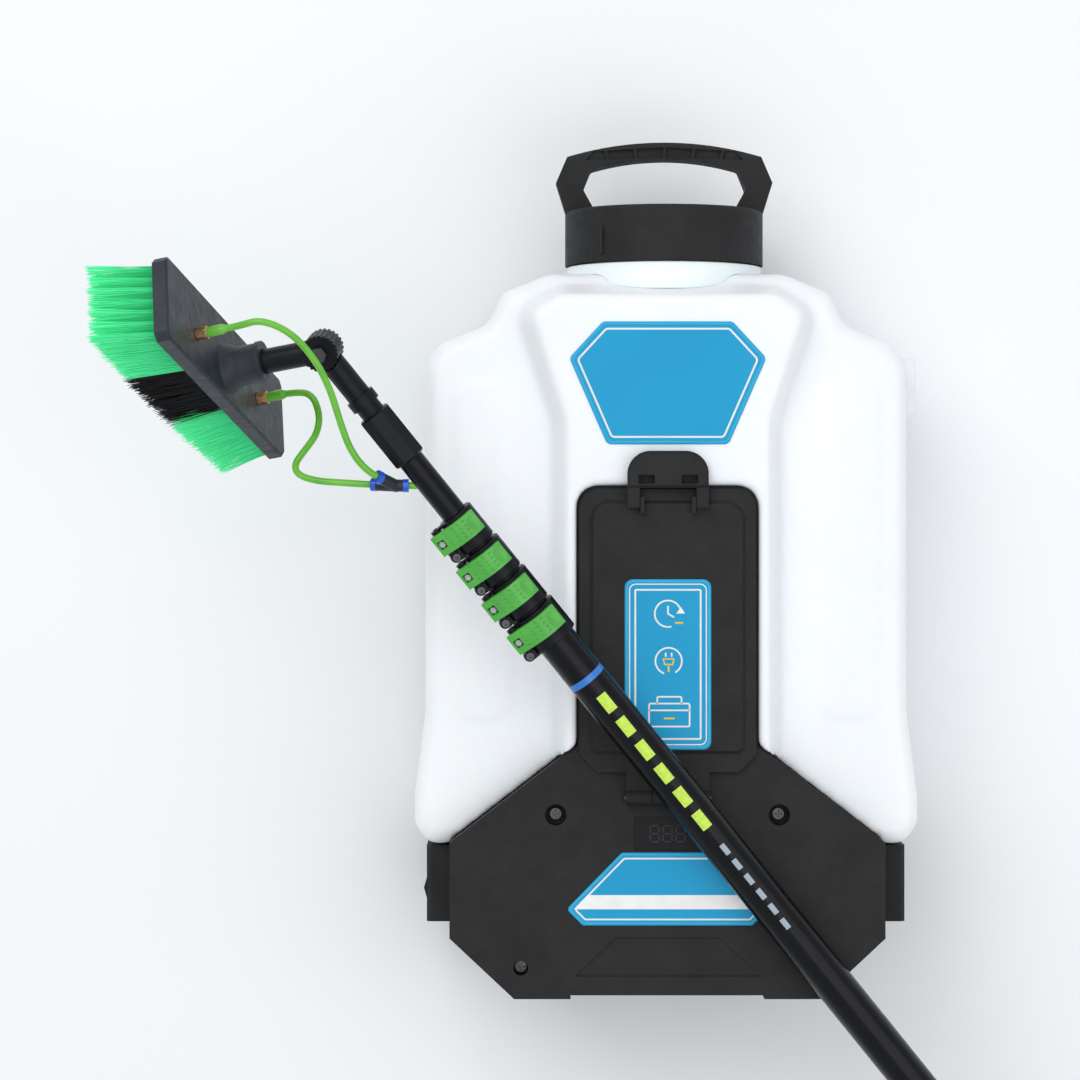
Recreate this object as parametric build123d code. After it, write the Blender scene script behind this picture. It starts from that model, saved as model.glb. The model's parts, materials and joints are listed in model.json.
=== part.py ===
from build123d import *
import math
import os

# Window cleaning pole system: a backpack water tank lying on its back, with a telescopic water-fed
# pole and brush laid across its front. Millimetres. +X is the tank's right as seen from its front,
# +Y runs from its feet to its filler cap, and +Z is up from the floor, out of the tank's front.
# The origin is the middle of the harness frame's flat back, which lies on the floor.
# Heights on the tank are measured from its feet, along +Y.

os.makedirs("parts", exist_ok=True)

# ---------------------------------------------------------------- driving dimensions: the tank
FEET_Y = -300.0            # the feet's face, below the origin
TANK_BACK = 16.0           # depths (Z) of the tank's back, side lobes and raised centre panel
LOBE_FRONT = 166.0
PANEL_FRONT = 196.0
PANEL_SINK = 50.0          # how deep the centre panel's sloping sides run
PANEL_TAPER = 18.0         # degrees
TANK_WALL = 3.0
SHOULDER_ROUND = 14.0      # corners of the tank's outline
FACE_ROUND = 12.0          # edges between its outline and its faces
PANEL_CORNER = 26.0        # corners of the centre panel's outline
PANEL_ROUND = 5.0          # its front edge
TANK_HALF_WIDTH = 181.0
HIP_REACH = 8.0            # how far the hips stand out beyond the sides
TANK_TOP = 541.0
TANK_TIP = 113.0           # lowest point of the side lobes
SEAM = 0.4                 # gap between pieces fitted together

NECK_DEPTH = 105.0         # how far the filler's axis stands off the floor
NECK_BORE = 60.0           # radii
NECK_RADIUS = 66.0
NECK_RING_RADIUS = 74.0
NECK_TOP = 580.0
THREAD_HEIGHT = 1.6
CAP_CLEARANCE = 0.4
CAP_WALL = 7.5
CAP_RIM = 550.0
CAP_TOP = 592.0
GASKET_THICKNESS = 2.6
WELD_GAP = 0.05            # the neck is drawn this far off the tank's top
STRAINER_FLANGE = 1.5
STRAINER_WALL = 1.5
STRAINER_DEPTH = 78.0
STRAINER_SLOTS = 14

HANDLE_HALF_WIDTH = 82.5   # carry handle on the cap
HANDLE_TOP = 644.0
HANDLE_BAR = 13.0          # its thickness at the top and at the sides
HANDLE_SIDE = 20.5
HANDLE_THICKNESS = 27.0
HANDLE_RIBS = 5

LUG_HEIGHTS = (435.0, 480.0)   # square stub on the tank's right shoulder
LUG_DEPTHS = (84.0, 116.0)
LUG_REACH = 11.0

# ---------------------------------------------------------------- the base and its battery bay
BASE_FRONT = 190.0
BASE_WALL = 3.0
COVER_THICKNESS = 3.0
BASE_SIDE = 162.0
BASE_SHOULDER = 116.0      # height where the base's sides turn in
COLUMN_HALF_WIDTH = 67.0   # the battery bay's column
COLUMN_ROOT = 189.0
COLUMN_TOP = 381.0
COLUMN_ROUND = 15.0
COLUMN_BACK = 118.0
BAY_FLOOR = 176.0
FOOT_INNER = 72.0
FOOT_OUTER = 114.0
FOOT_STEP = 3.0
FOOT_CHAMFER = 45.0
FLANGE_SIDE = 180.0
FLANGE_HEIGHTS = (54.0, 111.5)
FLANGE_DEPTHS = (40.0, 150.0)
SCREW_UPPER = (83.0, 137.0)    # half spacing and height of the upper pair of cover screws
SCREW_LOWER = (109.0, 23.0)
SCREW_RECESS = (8.0, 5.5)      # radii of the upper and lower recesses
RECESS_DEPTH = 16.0
SCREW_HEAD = 4.2
WINDOW_SIZE = (50.0, 25.0)
WINDOW_HEIGHT = 123.0
WINDOW_THICKNESS = 2.0
RELIEF_DEPTH = 1.5

DOOR_GAP = 0.4
DOOR_THICKNESS = 5.0
DOOR_HALF_WIDTH = 65.5
DOOR_BOTTOM = 183.0
DOOR_TOP = COLUMN_TOP - 2.0
DOOR_PANEL_HALF = 57.0
DOOR_PANEL_RISE = 3.0
DOOR_CHAMFER = 13.0
DOOR_HINGE_HEIGHT = 150.0
DOOR_HINGE_RADIUS = 5.0
HINGE_HALF_WIDTH = 31.0
HINGE_MIDDLE = 11.5
HINGE_PIN_RADIUS = 2.0
RUNNING_FIT = 0.05
LATCH_HALF_WIDTH = 30.0
LATCH_RISE = 28.0              # how far it stands above the door
LATCH_CORNER = 17.0
LATCH_THICKNESS = 10.0
LATCH_POCKET = (10.0, 22.0)        # its two finger pockets: inner and outer half width,
LATCH_POCKET_RISE = (3.6, 10.2)    # from and to above the door,
LATCH_POCKET_FLOOR = 2.4           # and what is left behind them
LATCH_EAR = 20.5               # outer half width of the door's two ears that carry it
LATCH_PIN_RADIUS = 1.2
LATCH_AXIS_DROP = 12.0         # its pivot below the door's top edge, and above the door's face
LATCH_AXIS_RISE = 3.0

BATTERY_SIZE = (78.0, 122.0, 60.0)
DOCK_HEIGHT = 12.0

ROCKER_HEIGHT = 75.0
ROCKER_DEPTH = 95.0
ROCKER_SIZE = (11.0, 22.0, 14.0)   # into the wall, along the height, across

PUMP_HEAD_SIZE = (52.0, 50.0, 52.0)
PUMP_HEAD_AT = (46.0, 65.0)        # its middle: across and height
MOTOR_RADIUS = 22.0
MOTOR_LENGTH = 72.0
PORT_DEPTH = 40.0
PORT_RADIUS = 5.0
SUCTION_X = 34.0
OUTLET_X = 52.0
OUTLET_LENGTH = 20.0
OUTLET_STEM = 4.2
OUTLET_POCKET = 16.0

FRAME_HALF_WIDTH = 115.0       # harness frame on the tank's back
FRAME_HEIGHTS = (205.0, 490.0)
FRAME_POCKET = (30.0, 104.0)   # the straps' pockets: inner and outer half width
FRAME_POCKET_DEPTH = 11.0
STRAP_THICKNESS = 9.0
STRAP_MARGIN = 6.0

LABEL_THICKNESS = 0.6
UPPER_LABEL_MIDDLE = 458.0
LOWER_LABEL_HEIGHTS = (55.0, 67.0, 109.0)
DOOR_LABEL_SIZE = (64.0, 126.0)
DOOR_LABEL_MIDDLE = 249.0

# ---------------------------------------------------------------- the pole
SECTIONS = 5
BASE_TUBE_RADIUS = 14.5
TUBE_WALL = 1.0
TUBE_GAP = 0.25
POLE_LENGTH = 1780.0       # closed, from the angle joint to the foot's end
TUBE_STAGGER = 12.0        # each inner tube ends this much short of the next
FOOT_RADIUS = 17.0
FOOT_LENGTH = 45.0
FOOT_BORE = 5.0
FIRST_CLAMP = 252.0        # distance of the base tube's clamp from the angle joint
CLAMP_PITCH = 30.0
CLAMP_ABOVE = 11.0         # the clamp's reach towards the brush and towards the foot
CLAMP_BELOW = 17.0
CLAMP_WALL = 3.0
CLAMP_LIP = 4.0
LEVER_WIDTH = 16.4
LEVER_GAP = 0.4
LEVER_THICKNESS = 4.6
LEVER_ANGLES = (52.0, 120.0)   # its curved part, around the clamp from the pole's right side
LEVER_TAIL = 18.2              # and its flat part, from there to its left end
PIN_ALONG = 14.0               # the pin's place along the flat part, and in from its inside
PIN_IN = 2.2
WINDOW_ALONG = 13.1
DISH_ANGLE = 68.0
PIN_RADIUS = 1.5
LEVER_KNUCKLE = 3.4
EAR_RADIUS = 4.2
EAR_REACH = 10.8
LEVER_FLOOR = 1.4              # what is left under the lever's window
LEVER_WINDOW = 6.4
LEVER_BOLT = 2.6
CLAMP_BOLT_OFFSET = 14.1       # the fixing bolt: towards the foot, and out from the clamp's side
CLAMP_BOLT_OUT = 4.8
CLAMP_BOLT_RADIUS = 1.6
CLAMP_BOLT_HEAD = 2.8
CLAMP_LUG = (4.2, 8.0)         # half length and thickness of the lug that it goes through

# ---------------------------------------------------------------- where the pole lies
POLE_REST = (125.0, 10.3)      # where it crosses the base's front edge: across and height
KNUCKLE_TO_REST = 598.0        # from there to the angle joint, seen from above
POLE_HEADING = math.radians(128.8)   # towards the brush, from +X
REST_GAP = 0.3

# ---------------------------------------------------------------- angle joint, brush and hoses
ARM = Vector(-0.955, -0.170, -0.243).normalized()      # from the angle joint to the brush
BRUSH_AXIS_HINT = Vector(-0.285, 0.3485, 0.893)        # along the brush's length
BRUSH_REACH = 72.0             # from the angle joint to the brush block's back
DISC_RADIUS = 13.5
DISC_THICKNESS = 9.4
DISC_GAP = 0.2
DISC_TEETH = 24
TOOTH_RADIUS = 0.9
NECK_TUBE_RADIUS = 9.0
COLLAR_RADIUS = 11.0
COLLAR_SPAN = (42.0, 50.0)
SLEEVE_SPAN = (58.0, 100.0)
SLEEVE_FLATS = 24.0
TUBE_TOP = 63.0                # where the innermost tube ends in the sleeve
ANGLE_BOLT_RADIUS = 3.0
ANGLE_BOLT_HEAD = 6.0
ARM_END = 68.0
BLOCK_SIZE = (230.0, 64.0, 11.0)
BLOCK_OFFSET = 7.0             # its middle from the socket, across
BLOCK_CHAMFER = 5.0
SOCKET_RADIUS = 14.3
SOCKET_LENGTH = 28.0
JET_SPACING = 60.0             # each jet from the brush's middle
JET_OFFSET = 1.0
JET_RADIUS = 2.5
JET_BACK = 17.0
JET_FRONT = 10.0
JET_HEX = 5.0
BRISTLE_LENGTH = 47.0
BRISTLE_SLICE = 1.5
BRISTLE_WIDTH = 1.8
BRISTLE_PITCH = (4.0, 8.4)
BRISTLE_ROWS = 7
BRISTLE_FLARE = (0.16, 0.04)   # how far the tips lean out, as a share of the place from the middle
BLACK_SPAN = (-26.0, 48.0)     # the dark middle tufts, along the brush
BRISTLE_SPAN = 110.0

HOSE_RADIUS = 2.5
PORT_AT = 125.0                # where the feed hose enters the pole, from the angle joint
Y_TO_AXIS = 26.0
Y_STEM = Vector(1, 0, 0)
STEM_LENGTH = 5.5
LEG_A = Vector(-0.72, 0.36, 0.59).normalized()
LEG_B = Vector(-0.97, 0.05, -0.24).normalized()
LEG_RADIUS = 4.4
LEG_LENGTH = 14.0
COLLET_RADIUS = 4.8
COLLET_LENGTH = 4.0
FEED_BEND = 15.0

BASE = (Align.CENTER, Align.CENTER, Align.MIN)


# ---------------------------------------------------------------- small helpers
def up(height):
    """The Y of a height above the tank's feet."""
    return FEET_Y + height


def block(x0, x1, h0, h1, z0, z1):
    """A box between two widths, two heights above the feet and two depths."""
    size = (x1 - x0, h1 - h0, z1 - z0)
    return Pos((x0 + x1) / 2, up((h0 + h1) / 2), (z0 + z1) / 2) * Box(*size)


def rod(radius, start, end):
    """A cylinder on the local Z axis."""
    return Pos(0, 0, start) * Cylinder(radius, end - start, align=BASE)


def ring(outer, inner, start, end):
    return rod(outer, start, end) - rod(inner, start - 1, end + 1)


def hexagon(radius, start, end):
    return Pos(0, 0, start) * extrude(RegularPolygon(radius, 6), end - start)


def outline(points):
    """A face on the floor plane through points given as (across, height)."""
    return make_face(Polyline([(x, up(h)) for x, h in points], close=True))


def mirrored(right_half):
    """The right half's points, given from the top down, and their mirror, anticlockwise."""
    return list(reversed(right_half)) + [(-x, h) for x, h in right_half if x > 0]


def slab(face, z0, z1):
    return Pos(0, 0, z0) * extrude(face, z1 - z0)


def upright(x, z):
    """Frame whose Z runs up the tank, at a place across and a depth; its Z is the height."""
    return Plane(origin=(x, FEET_Y, z), x_dir=(1, 0, 0), z_dir=(0, 1, 0)).location


def outward(x, height, z):
    """Frame on the tank's front whose Z points out of it."""
    return Pos(x, up(height), z)


def save(shape, name):
    shape.label = name
    export_step(shape, f"parts/{name}.step")


# ---------------------------------------------------------------- tank
TANK_POINTS = mirrored([
    (0, TANK_TOP), (0.486 * TANK_HALF_WIDTH, TANK_TOP), (0.68 * TANK_HALF_WIDTH, TANK_TOP - 14),
    (0.74 * TANK_HALF_WIDTH, TANK_TOP - 38), (TANK_HALF_WIDTH - 11, TANK_TOP - 52),
    (TANK_HALF_WIDTH, TANK_TOP - 68), (TANK_HALF_WIDTH, 212), (TANK_HALF_WIDTH + HIP_REACH, 150),
    (TANK_HALF_WIDTH + HIP_REACH, 127), (TANK_HALF_WIDTH - 3, TANK_TIP),
])
PANEL_POINTS = mirrored([
    (0, TANK_TOP - 2), (0.464 * TANK_HALF_WIDTH, TANK_TOP - 2), (0.6685 * TANK_HALF_WIDTH, TANK_TOP - 24),
    (0.508 * TANK_HALF_WIDTH, TANK_TOP - 113), (0.508 * TANK_HALF_WIDTH, 150),
])


def tank_form(inset):
    """The tank's outer form without its recess, drawn in by inset on every side."""
    tank_face = outline(TANK_POINTS)
    tank_face = fillet(tank_face.vertices(), SHOULDER_ROUND)
    panel_face = outline(PANEL_POINTS)
    panel_face = fillet(panel_face.vertices(), PANEL_CORNER)
    if inset > 0:
        tank_face = offset(tank_face, amount=-inset)
        panel_face = offset(panel_face, amount=-inset)
    lobes = slab(tank_face, TANK_BACK + inset, LOBE_FRONT - inset)
    rims = lobes.edges().group_by(Axis.Z)
    lobes = fillet(rims[0] + rims[-1], FACE_ROUND - inset)
    panel = Pos(0, 0, PANEL_FRONT - PANEL_SINK) * extrude(panel_face, PANEL_SINK - inset, taper=PANEL_TAPER)
    panel = fillet(panel.edges().group_by(Axis.Z)[-1], PANEL_ROUND)
    return lobes + panel


def base_face():
    """The base's outline without its flanges, from the front."""
    points = mirrored([
        (0, COLUMN_ROOT), (COLUMN_HALF_WIDTH, COLUMN_ROOT), (BASE_SIDE, BASE_SHOULDER),
        (BASE_SIDE, FOOT_CHAMFER), (FOOT_OUTER, 0),
    ])
    return outline(points)


def column_face(grow=0.0):
    half = COLUMN_HALF_WIDTH + grow
    low = COLUMN_ROOT - 20
    high = COLUMN_TOP + grow
    face = Pos(0, up((low + high) / 2)) * Rectangle(2 * half, high - low)
    top = face.vertices().group_by(Axis.Y)[-1]
    return fillet(top, COLUMN_ROUND)


def base_block(grow):
    """The space the base takes out of the tank, grown by a clearance or a wall."""
    lower = slab(offset(base_face(), amount=grow), -20, PANEL_FRONT + 40)
    column = slab(column_face(grow), COLUMN_BACK - grow, PANEL_FRONT + 40)
    return lower + column


def make_tank():
    shell = tank_form(0) - base_block(SEAM)
    room = tank_form(TANK_WALL) - base_block(SEAM + TANK_WALL)
    lug = block(TANK_HALF_WIDTH - 8, TANK_HALF_WIDTH + LUG_REACH, *LUG_HEIGHTS, *LUG_DEPTHS)
    lug = fillet(lug.edges().filter_by(Axis.X), 4)
    hollow = block(TANK_HALF_WIDTH - 20, TANK_HALF_WIDTH + LUG_REACH - TANK_WALL,
                   LUG_HEIGHTS[0] + TANK_WALL, LUG_HEIGHTS[1] - TANK_WALL,
                   LUG_DEPTHS[0] + TANK_WALL, LUG_DEPTHS[1] - TANK_WALL)
    spigot = upright(SUCTION_X, PORT_DEPTH)
    shell = shell + lug
    shell = shell - room - hollow
    shell = shell - upright(0, NECK_DEPTH) * rod(NECK_BORE, TANK_TOP - 40, NECK_TOP + 1)
    shell = shell + spigot * rod(PORT_RADIUS, COLUMN_ROOT - 10, COLUMN_ROOT + 2)
    shell = shell - spigot * rod(PORT_RADIUS - 1.5, COLUMN_ROOT - 11, COLUMN_ROOT + 10)
    return shell


def make_neck():
    """The threaded filler neck, welded on the tank's top."""
    neck = rod(NECK_RING_RADIUS, TANK_TOP - 12, TANK_TOP + 8) + rod(NECK_RADIUS, TANK_TOP, NECK_TOP)
    for turn in range(3):
        low = NECK_TOP - 8 - 8 * turn
        neck += rod(NECK_RADIUS + THREAD_HEIGHT, low, low + 3)
    neck = upright(0, NECK_DEPTH) * (neck - rod(NECK_BORE, TANK_TOP - 40, NECK_TOP + 1))
    return neck - Pos(0, WELD_GAP, 0) * tank_form(0)


def make_strainer():
    """The basket that hangs in the filler neck."""
    outer = NECK_BORE - 1.0
    low = NECK_TOP - STRAINER_DEPTH
    basket = rod(outer, low, NECK_TOP) + rod(NECK_RADIUS - 1, NECK_TOP, NECK_TOP + STRAINER_FLANGE)
    basket -= rod(outer - STRAINER_WALL, low + STRAINER_WALL, NECK_TOP + 5)
    for index in range(STRAINER_SLOTS):
        angle = 360 * index / STRAINER_SLOTS
        slot = Pos(outer, 0, low + STRAINER_DEPTH / 2) * Box(8, 10, STRAINER_DEPTH - 24)
        basket -= Rot(0, 0, angle) * slot
    return upright(0, NECK_DEPTH) * basket


GASKET_LOW = NECK_TOP + STRAINER_FLANGE
CAP_BORE = NECK_RADIUS + THREAD_HEIGHT + CAP_CLEARANCE
CAP_RADIUS = CAP_BORE + CAP_WALL


def make_gasket():
    gasket = ring(NECK_RADIUS - 0.5, NECK_BORE + 0.5, GASKET_LOW, GASKET_LOW + GASKET_THICKNESS)
    return upright(0, NECK_DEPTH) * gasket


def handle_outline(half, foot_in, shoulder_in, low, top):
    """The carry handle's outer or inner outline: widest at its waist, with an arched top."""
    waist = CAP_TOP + 0.41 * (top - CAP_TOP)
    shoulder = CAP_TOP + 0.79 * (top - CAP_TOP)
    points = [(-half + foot_in, low), (-half, waist), (-half + shoulder_in, shoulder), (0, top),
              (half - shoulder_in, shoulder), (half, waist), (half - foot_in, low)]
    corners = [(x, up(h)) for x, h in points]
    crown = ThreePointArc(corners[2], corners[3], corners[4])
    sides = Polyline(corners[4], corners[5], corners[6], corners[0], corners[1], corners[2])
    return make_face([crown, sides])


def make_cap():
    neck = upright(0, NECK_DEPTH)
    inside_top = GASKET_LOW + GASKET_THICKNESS + 0.1
    cap = neck * rod(CAP_RADIUS, CAP_RIM, CAP_TOP)
    rims = cap.edges().filter_by(GeomType.CIRCLE).group_by(Axis.Y)
    cap = fillet(rims[-1], 3)
    cap -= neck * rod(CAP_BORE, CAP_RIM - 1, inside_top)
    outer = handle_outline(HANDLE_HALF_WIDTH, 8.5, 8.5, CAP_TOP - 6, HANDLE_TOP)
    opening = handle_outline(HANDLE_HALF_WIDTH - HANDLE_SIDE, 9.0, 6.0, CAP_TOP, HANDLE_TOP - HANDLE_BAR)
    opening = fillet(opening.vertices(), 4)
    handle = slab(outer, NECK_DEPTH - HANDLE_THICKNESS / 2, NECK_DEPTH + HANDLE_THICKNESS / 2)
    handle = chamfer(handle.edges().group_by(Axis.Z)[0] + handle.edges().group_by(Axis.Z)[-1], 3)
    handle -= slab(opening, NECK_DEPTH - HANDLE_THICKNESS, NECK_DEPTH + HANDLE_THICKNESS)
    bar = outline([(-60, HANDLE_TOP - 13.5), (-54, HANDLE_TOP - 7), (0, HANDLE_TOP - 4), (54, HANDLE_TOP - 7),
                   (60, HANDLE_TOP - 13.5), (0, HANDLE_TOP - 11.5)])
    groove = slab(bar, NECK_DEPTH + HANDLE_THICKNESS / 2 - 3, NECK_DEPTH + HANDLE_THICKNESS)
    for index in range(HANDLE_RIBS):
        place = index - (HANDLE_RIBS - 1) / 2
        rib = Rot(0, 0, -9 * place) * Box(2.2, 30, 60)
        groove -= Pos(22 * place, up(HANDLE_TOP - 9), NECK_DEPTH + HANDLE_THICKNESS / 2) * rib
    vent = neck * rod(4.5, CAP_TOP - 1, CAP_TOP + 4)
    mark = block(-50, -48, CAP_RIM + 6, CAP_RIM + 26, NECK_DEPTH + CAP_RADIUS * 0.69,
                 NECK_DEPTH + CAP_RADIUS * 0.8)
    return cap + (handle - groove) + vent + mark


# ---------------------------------------------------------------- base
def screw_places():
    """Across, height and recess radius of each of the four cover screws."""
    places = []
    for side in (-1, 1):
        places.append((side * SCREW_UPPER[0], SCREW_UPPER[1], SCREW_RECESS[0]))
        places.append((side * SCREW_LOWER[0], SCREW_LOWER[1], SCREW_RECESS[1]))
    return places


def make_base():
    lower = slab(base_face(), COVER_THICKNESS, BASE_FRONT)
    lower = chamfer(lower.edges().group_by(Axis.Z)[-1], 1.5)
    column = slab(column_face(), COLUMN_BACK, BASE_FRONT)
    for side in (-1, 1):
        x0, x1 = sorted((side * (BASE_SIDE - 5), side * FLANGE_SIDE))
        flange = block(x0, x1, *FLANGE_HEIGHTS, *FLANGE_DEPTHS)
        lower += chamfer(flange.edges().filter_by(Axis.Y), 3)
    room = slab(offset(base_face(), amount=-BASE_WALL), COVER_THICKNESS - 1, BASE_FRONT - BASE_WALL)
    room -= block(-COLUMN_HALF_WIDTH, COLUMN_HALF_WIDTH, BAY_FLOOR - BASE_WALL, 300,
                  COLUMN_BACK, BASE_FRONT)
    bay_half = COLUMN_HALF_WIDTH - 6
    bay = block(-bay_half, bay_half, BAY_FLOOR, COLUMN_TOP - 7, COLUMN_BACK + BASE_WALL, BASE_FRONT + 1)
    room -= block(-FOOT_INNER - BASE_WALL, FOOT_INNER + BASE_WALL, -1, FOOT_STEP + BASE_WALL, 0, BASE_FRONT)
    base = lower + column - room - bay
    for x, height, radius in screw_places():
        boss = outward(x, height, 0) * rod(radius + 3, BASE_FRONT - RECESS_DEPTH - 8, BASE_FRONT - 0.5)
        base += boss & lower
        base -= outward(x, height, 0) * rod(radius, BASE_FRONT - RECESS_DEPTH, BASE_FRONT + 1)
        base -= outward(x, height, 0) * rod(1.8, BASE_FRONT - RECESS_DEPTH - 9, BASE_FRONT)
    base -= block(-FOOT_INNER, FOOT_INNER, -1, FOOT_STEP, -1, BASE_FRONT + 1)
    base -= upright(OUTLET_X, PORT_DEPTH) * rod(OUTLET_POCKET + BASE_WALL + RUNNING_FIT, -1, 60)
    base -= upright(SUCTION_X, PORT_DEPTH) * rod(PORT_RADIUS + RUNNING_FIT, COLUMN_ROOT - 20, COLUMN_ROOT + 1)
    width, tall = WINDOW_SIZE
    base += block(-width / 2 - 4, width / 2 + 4, WINDOW_HEIGHT - tall / 2 - 4, WINDOW_HEIGHT + tall / 2 + 4,
                  BASE_FRONT - 6, BASE_FRONT - 2)
    base -= block(-width / 2, width / 2, WINDOW_HEIGHT - tall / 2, WINDOW_HEIGHT + tall / 2,
                  BASE_FRONT - WINDOW_THICKNESS - 0.6, BASE_FRONT + 1)
    relief = outline([(-69, 17), (69, 17), (39, 46), (-39, 46)])
    base -= slab(relief, BASE_FRONT - RELIEF_DEPTH, BASE_FRONT + 1)
    knuckle = hinge_barrel(-HINGE_MIDDLE, HINGE_MIDDLE)
    knuckle += block(-HINGE_MIDDLE, HINGE_MIDDLE, DOOR_HINGE_HEIGHT - DOOR_HINGE_RADIUS, DOOR_HINGE_HEIGHT,
                     BASE_FRONT - 2, BASE_FRONT + DOOR_HINGE_RADIUS)
    base += knuckle
    base -= hinge_axis() * rod(HINGE_PIN_RADIUS + RUNNING_FIT, -60, 60)
    gap = 0.6
    depth, tall, across = ROCKER_SIZE
    base -= block(-FLANGE_SIDE - 1, -FLANGE_SIDE + depth + gap, ROCKER_HEIGHT - tall / 2 - gap,
                  ROCKER_HEIGHT + tall / 2 + gap, ROCKER_DEPTH - across / 2 - gap,
                  ROCKER_DEPTH + across / 2 + gap)
    return base


def make_back_cover():
    face = offset(base_face(), amount=-1.0)
    return slab(face, 0, COVER_THICKNESS - 0.1)


def make_screws():
    screws = []
    for x, height, radius in screw_places():
        seat = BASE_FRONT - RECESS_DEPTH + 0.1
        screw = rod(SCREW_HEAD, seat, seat + 3)
        for slot in (Box(5.5, 1.2, 3), Box(1.2, 5.5, 3)):
            screw -= Pos(0, 0, seat + 2) * slot
        screw += rod(1.7, seat - 8.5, seat + 1)
        screws.append(outward(x, height, 0) * screw)
    return Compound(children=screws)


def hinge_axis():
    """Frame on the door's hinge: its Z runs across the tank."""
    depth = BASE_FRONT + DOOR_HINGE_RADIUS + 0.4
    return Plane(origin=(0, up(DOOR_HINGE_HEIGHT), depth), x_dir=(0, 1, 0), z_dir=(1, 0, 0)).location


def hinge_barrel(x0, x1):
    return hinge_axis() * rod(DOOR_HINGE_RADIUS, x0, x1)


def make_hinge_pin():
    return hinge_axis() * rod(HINGE_PIN_RADIUS, -HINGE_HALF_WIDTH - 1, HINGE_HALF_WIDTH + 1)


DOOR_BACK = BASE_FRONT + DOOR_GAP
DOOR_FRONT = DOOR_BACK + DOOR_THICKNESS
DOOR_FACE = DOOR_FRONT + DOOR_PANEL_RISE


def door_face(half, low, high, cut):
    face = outline([(-half + cut, low), (half - cut, low), (half, low + cut), (half, high), (-half, high),
                    (-half, low + cut)])
    return fillet(face.vertices().group_by(Axis.Y)[-1], COLUMN_ROUND - 1)


def make_door():
    door = slab(door_face(DOOR_HALF_WIDTH, DOOR_BOTTOM - 14, DOOR_TOP, DOOR_CHAMFER), DOOR_BACK, DOOR_FRONT)
    raised = slab(door_face(DOOR_PANEL_HALF, DOOR_BOTTOM, DOOR_TOP - 9, 4), DOOR_FRONT - 1, DOOR_FACE)
    raised = chamfer(raised.edges().group_by(Axis.Z)[-1], 2)
    inset = slab(door_face(DOOR_HALF_WIDTH - 4, DOOR_BOTTOM - 8, DOOR_TOP - 4, DOOR_CHAMFER - 2),
                 DOOR_BACK - 1, DOOR_BACK + 2.5)
    door = door + raised - inset
    slot_half = LATCH_HALF_WIDTH - 6
    for side in (-1, 1):
        x0, x1 = sorted((side * (LATCH_EAR - 3), side * LATCH_EAR))
        door += block(x0, x1, DOOR_TOP - 18, DOOR_TOP - 6, DOOR_FRONT - 1, DOOR_FACE + LATCH_AXIS_RISE + 3)
        x0, x1 = sorted((side * (HINGE_MIDDLE + 0.5), side * HINGE_HALF_WIDTH))
        door += hinge_barrel(x0, x1)
        door += block(x0, x1, DOOR_HINGE_HEIGHT, DOOR_BOTTOM - 10, DOOR_BACK, DOOR_FRONT)
    door -= hinge_axis() * rod(HINGE_PIN_RADIUS + RUNNING_FIT, -60, 60)
    door -= latch_axis() * rod(LATCH_PIN_RADIUS + RUNNING_FIT, -60, 60)
    door -= block(-slot_half, slot_half, DOOR_TOP - 5, DOOR_TOP + 1, DOOR_BACK - 1, DOOR_FRONT - 1.5)
    return door


def latch_axis():
    """Frame on the latch's pivot, between the door's two ears: its Z runs across the tank."""
    depth = DOOR_FACE + LATCH_AXIS_RISE
    return Plane(origin=(0, up(DOOR_TOP - LATCH_AXIS_DROP), depth), x_dir=(0, 1, 0), z_dir=(1, 0, 0)).location


def make_latch():
    """The arched tab above the door, with its two finger pockets and its arms."""
    low = DOOR_TOP + 0.6
    high = DOOR_TOP + LATCH_RISE
    half = LATCH_HALF_WIDTH
    arch = outline([(-half, low), (half, low), (half, high), (-half, high)])
    arch = fillet(arch.vertices().group_by(Axis.Y)[-1], LATCH_CORNER)
    latch = slab(arch, PANEL_FRONT + 0.6, PANEL_FRONT + LATCH_THICKNESS)
    latch = chamfer(latch.edges().group_by(Axis.Z)[-1], 2)
    for side in (-1, 1):
        x0, x1 = sorted((side * LATCH_POCKET[0], side * LATCH_POCKET[1]))
        latch -= block(x0, x1, DOOR_TOP + LATCH_POCKET_RISE[0], DOOR_TOP + LATCH_POCKET_RISE[1],
                       PANEL_FRONT + 0.6 + LATCH_POCKET_FLOOR, PANEL_FRONT + 20)
        x0, x1 = sorted((side * (LATCH_EAR + 0.5), side * LATCH_HALF_WIDTH))
        low_end = DOOR_TOP - LATCH_AXIS_DROP - 2
        latch += block(x0, x1, low_end, low + 1, DOOR_FACE + 0.8, PANEL_FRONT + LATCH_THICKNESS - 2)
        start, end = sorted((side * (LATCH_EAR - 2.5), side * (LATCH_EAR + 2)))
        latch += latch_axis() * rod(LATCH_PIN_RADIUS, start, end)
    return latch


def make_dock():
    width, tall, deep = BATTERY_SIZE
    low = BAY_FLOOR
    back = COLUMN_BACK + BASE_WALL
    dock = block(-width / 2, width / 2, low + 0.1, low + DOCK_HEIGHT, back + 0.1, back + deep)
    for x in (-18, 0, 18):
        dock += block(x - 1, x + 1, low + DOCK_HEIGHT - 1, low + DOCK_HEIGHT + 8, COLUMN_BACK + 20,
                      COLUMN_BACK + 40)
    return dock


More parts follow.
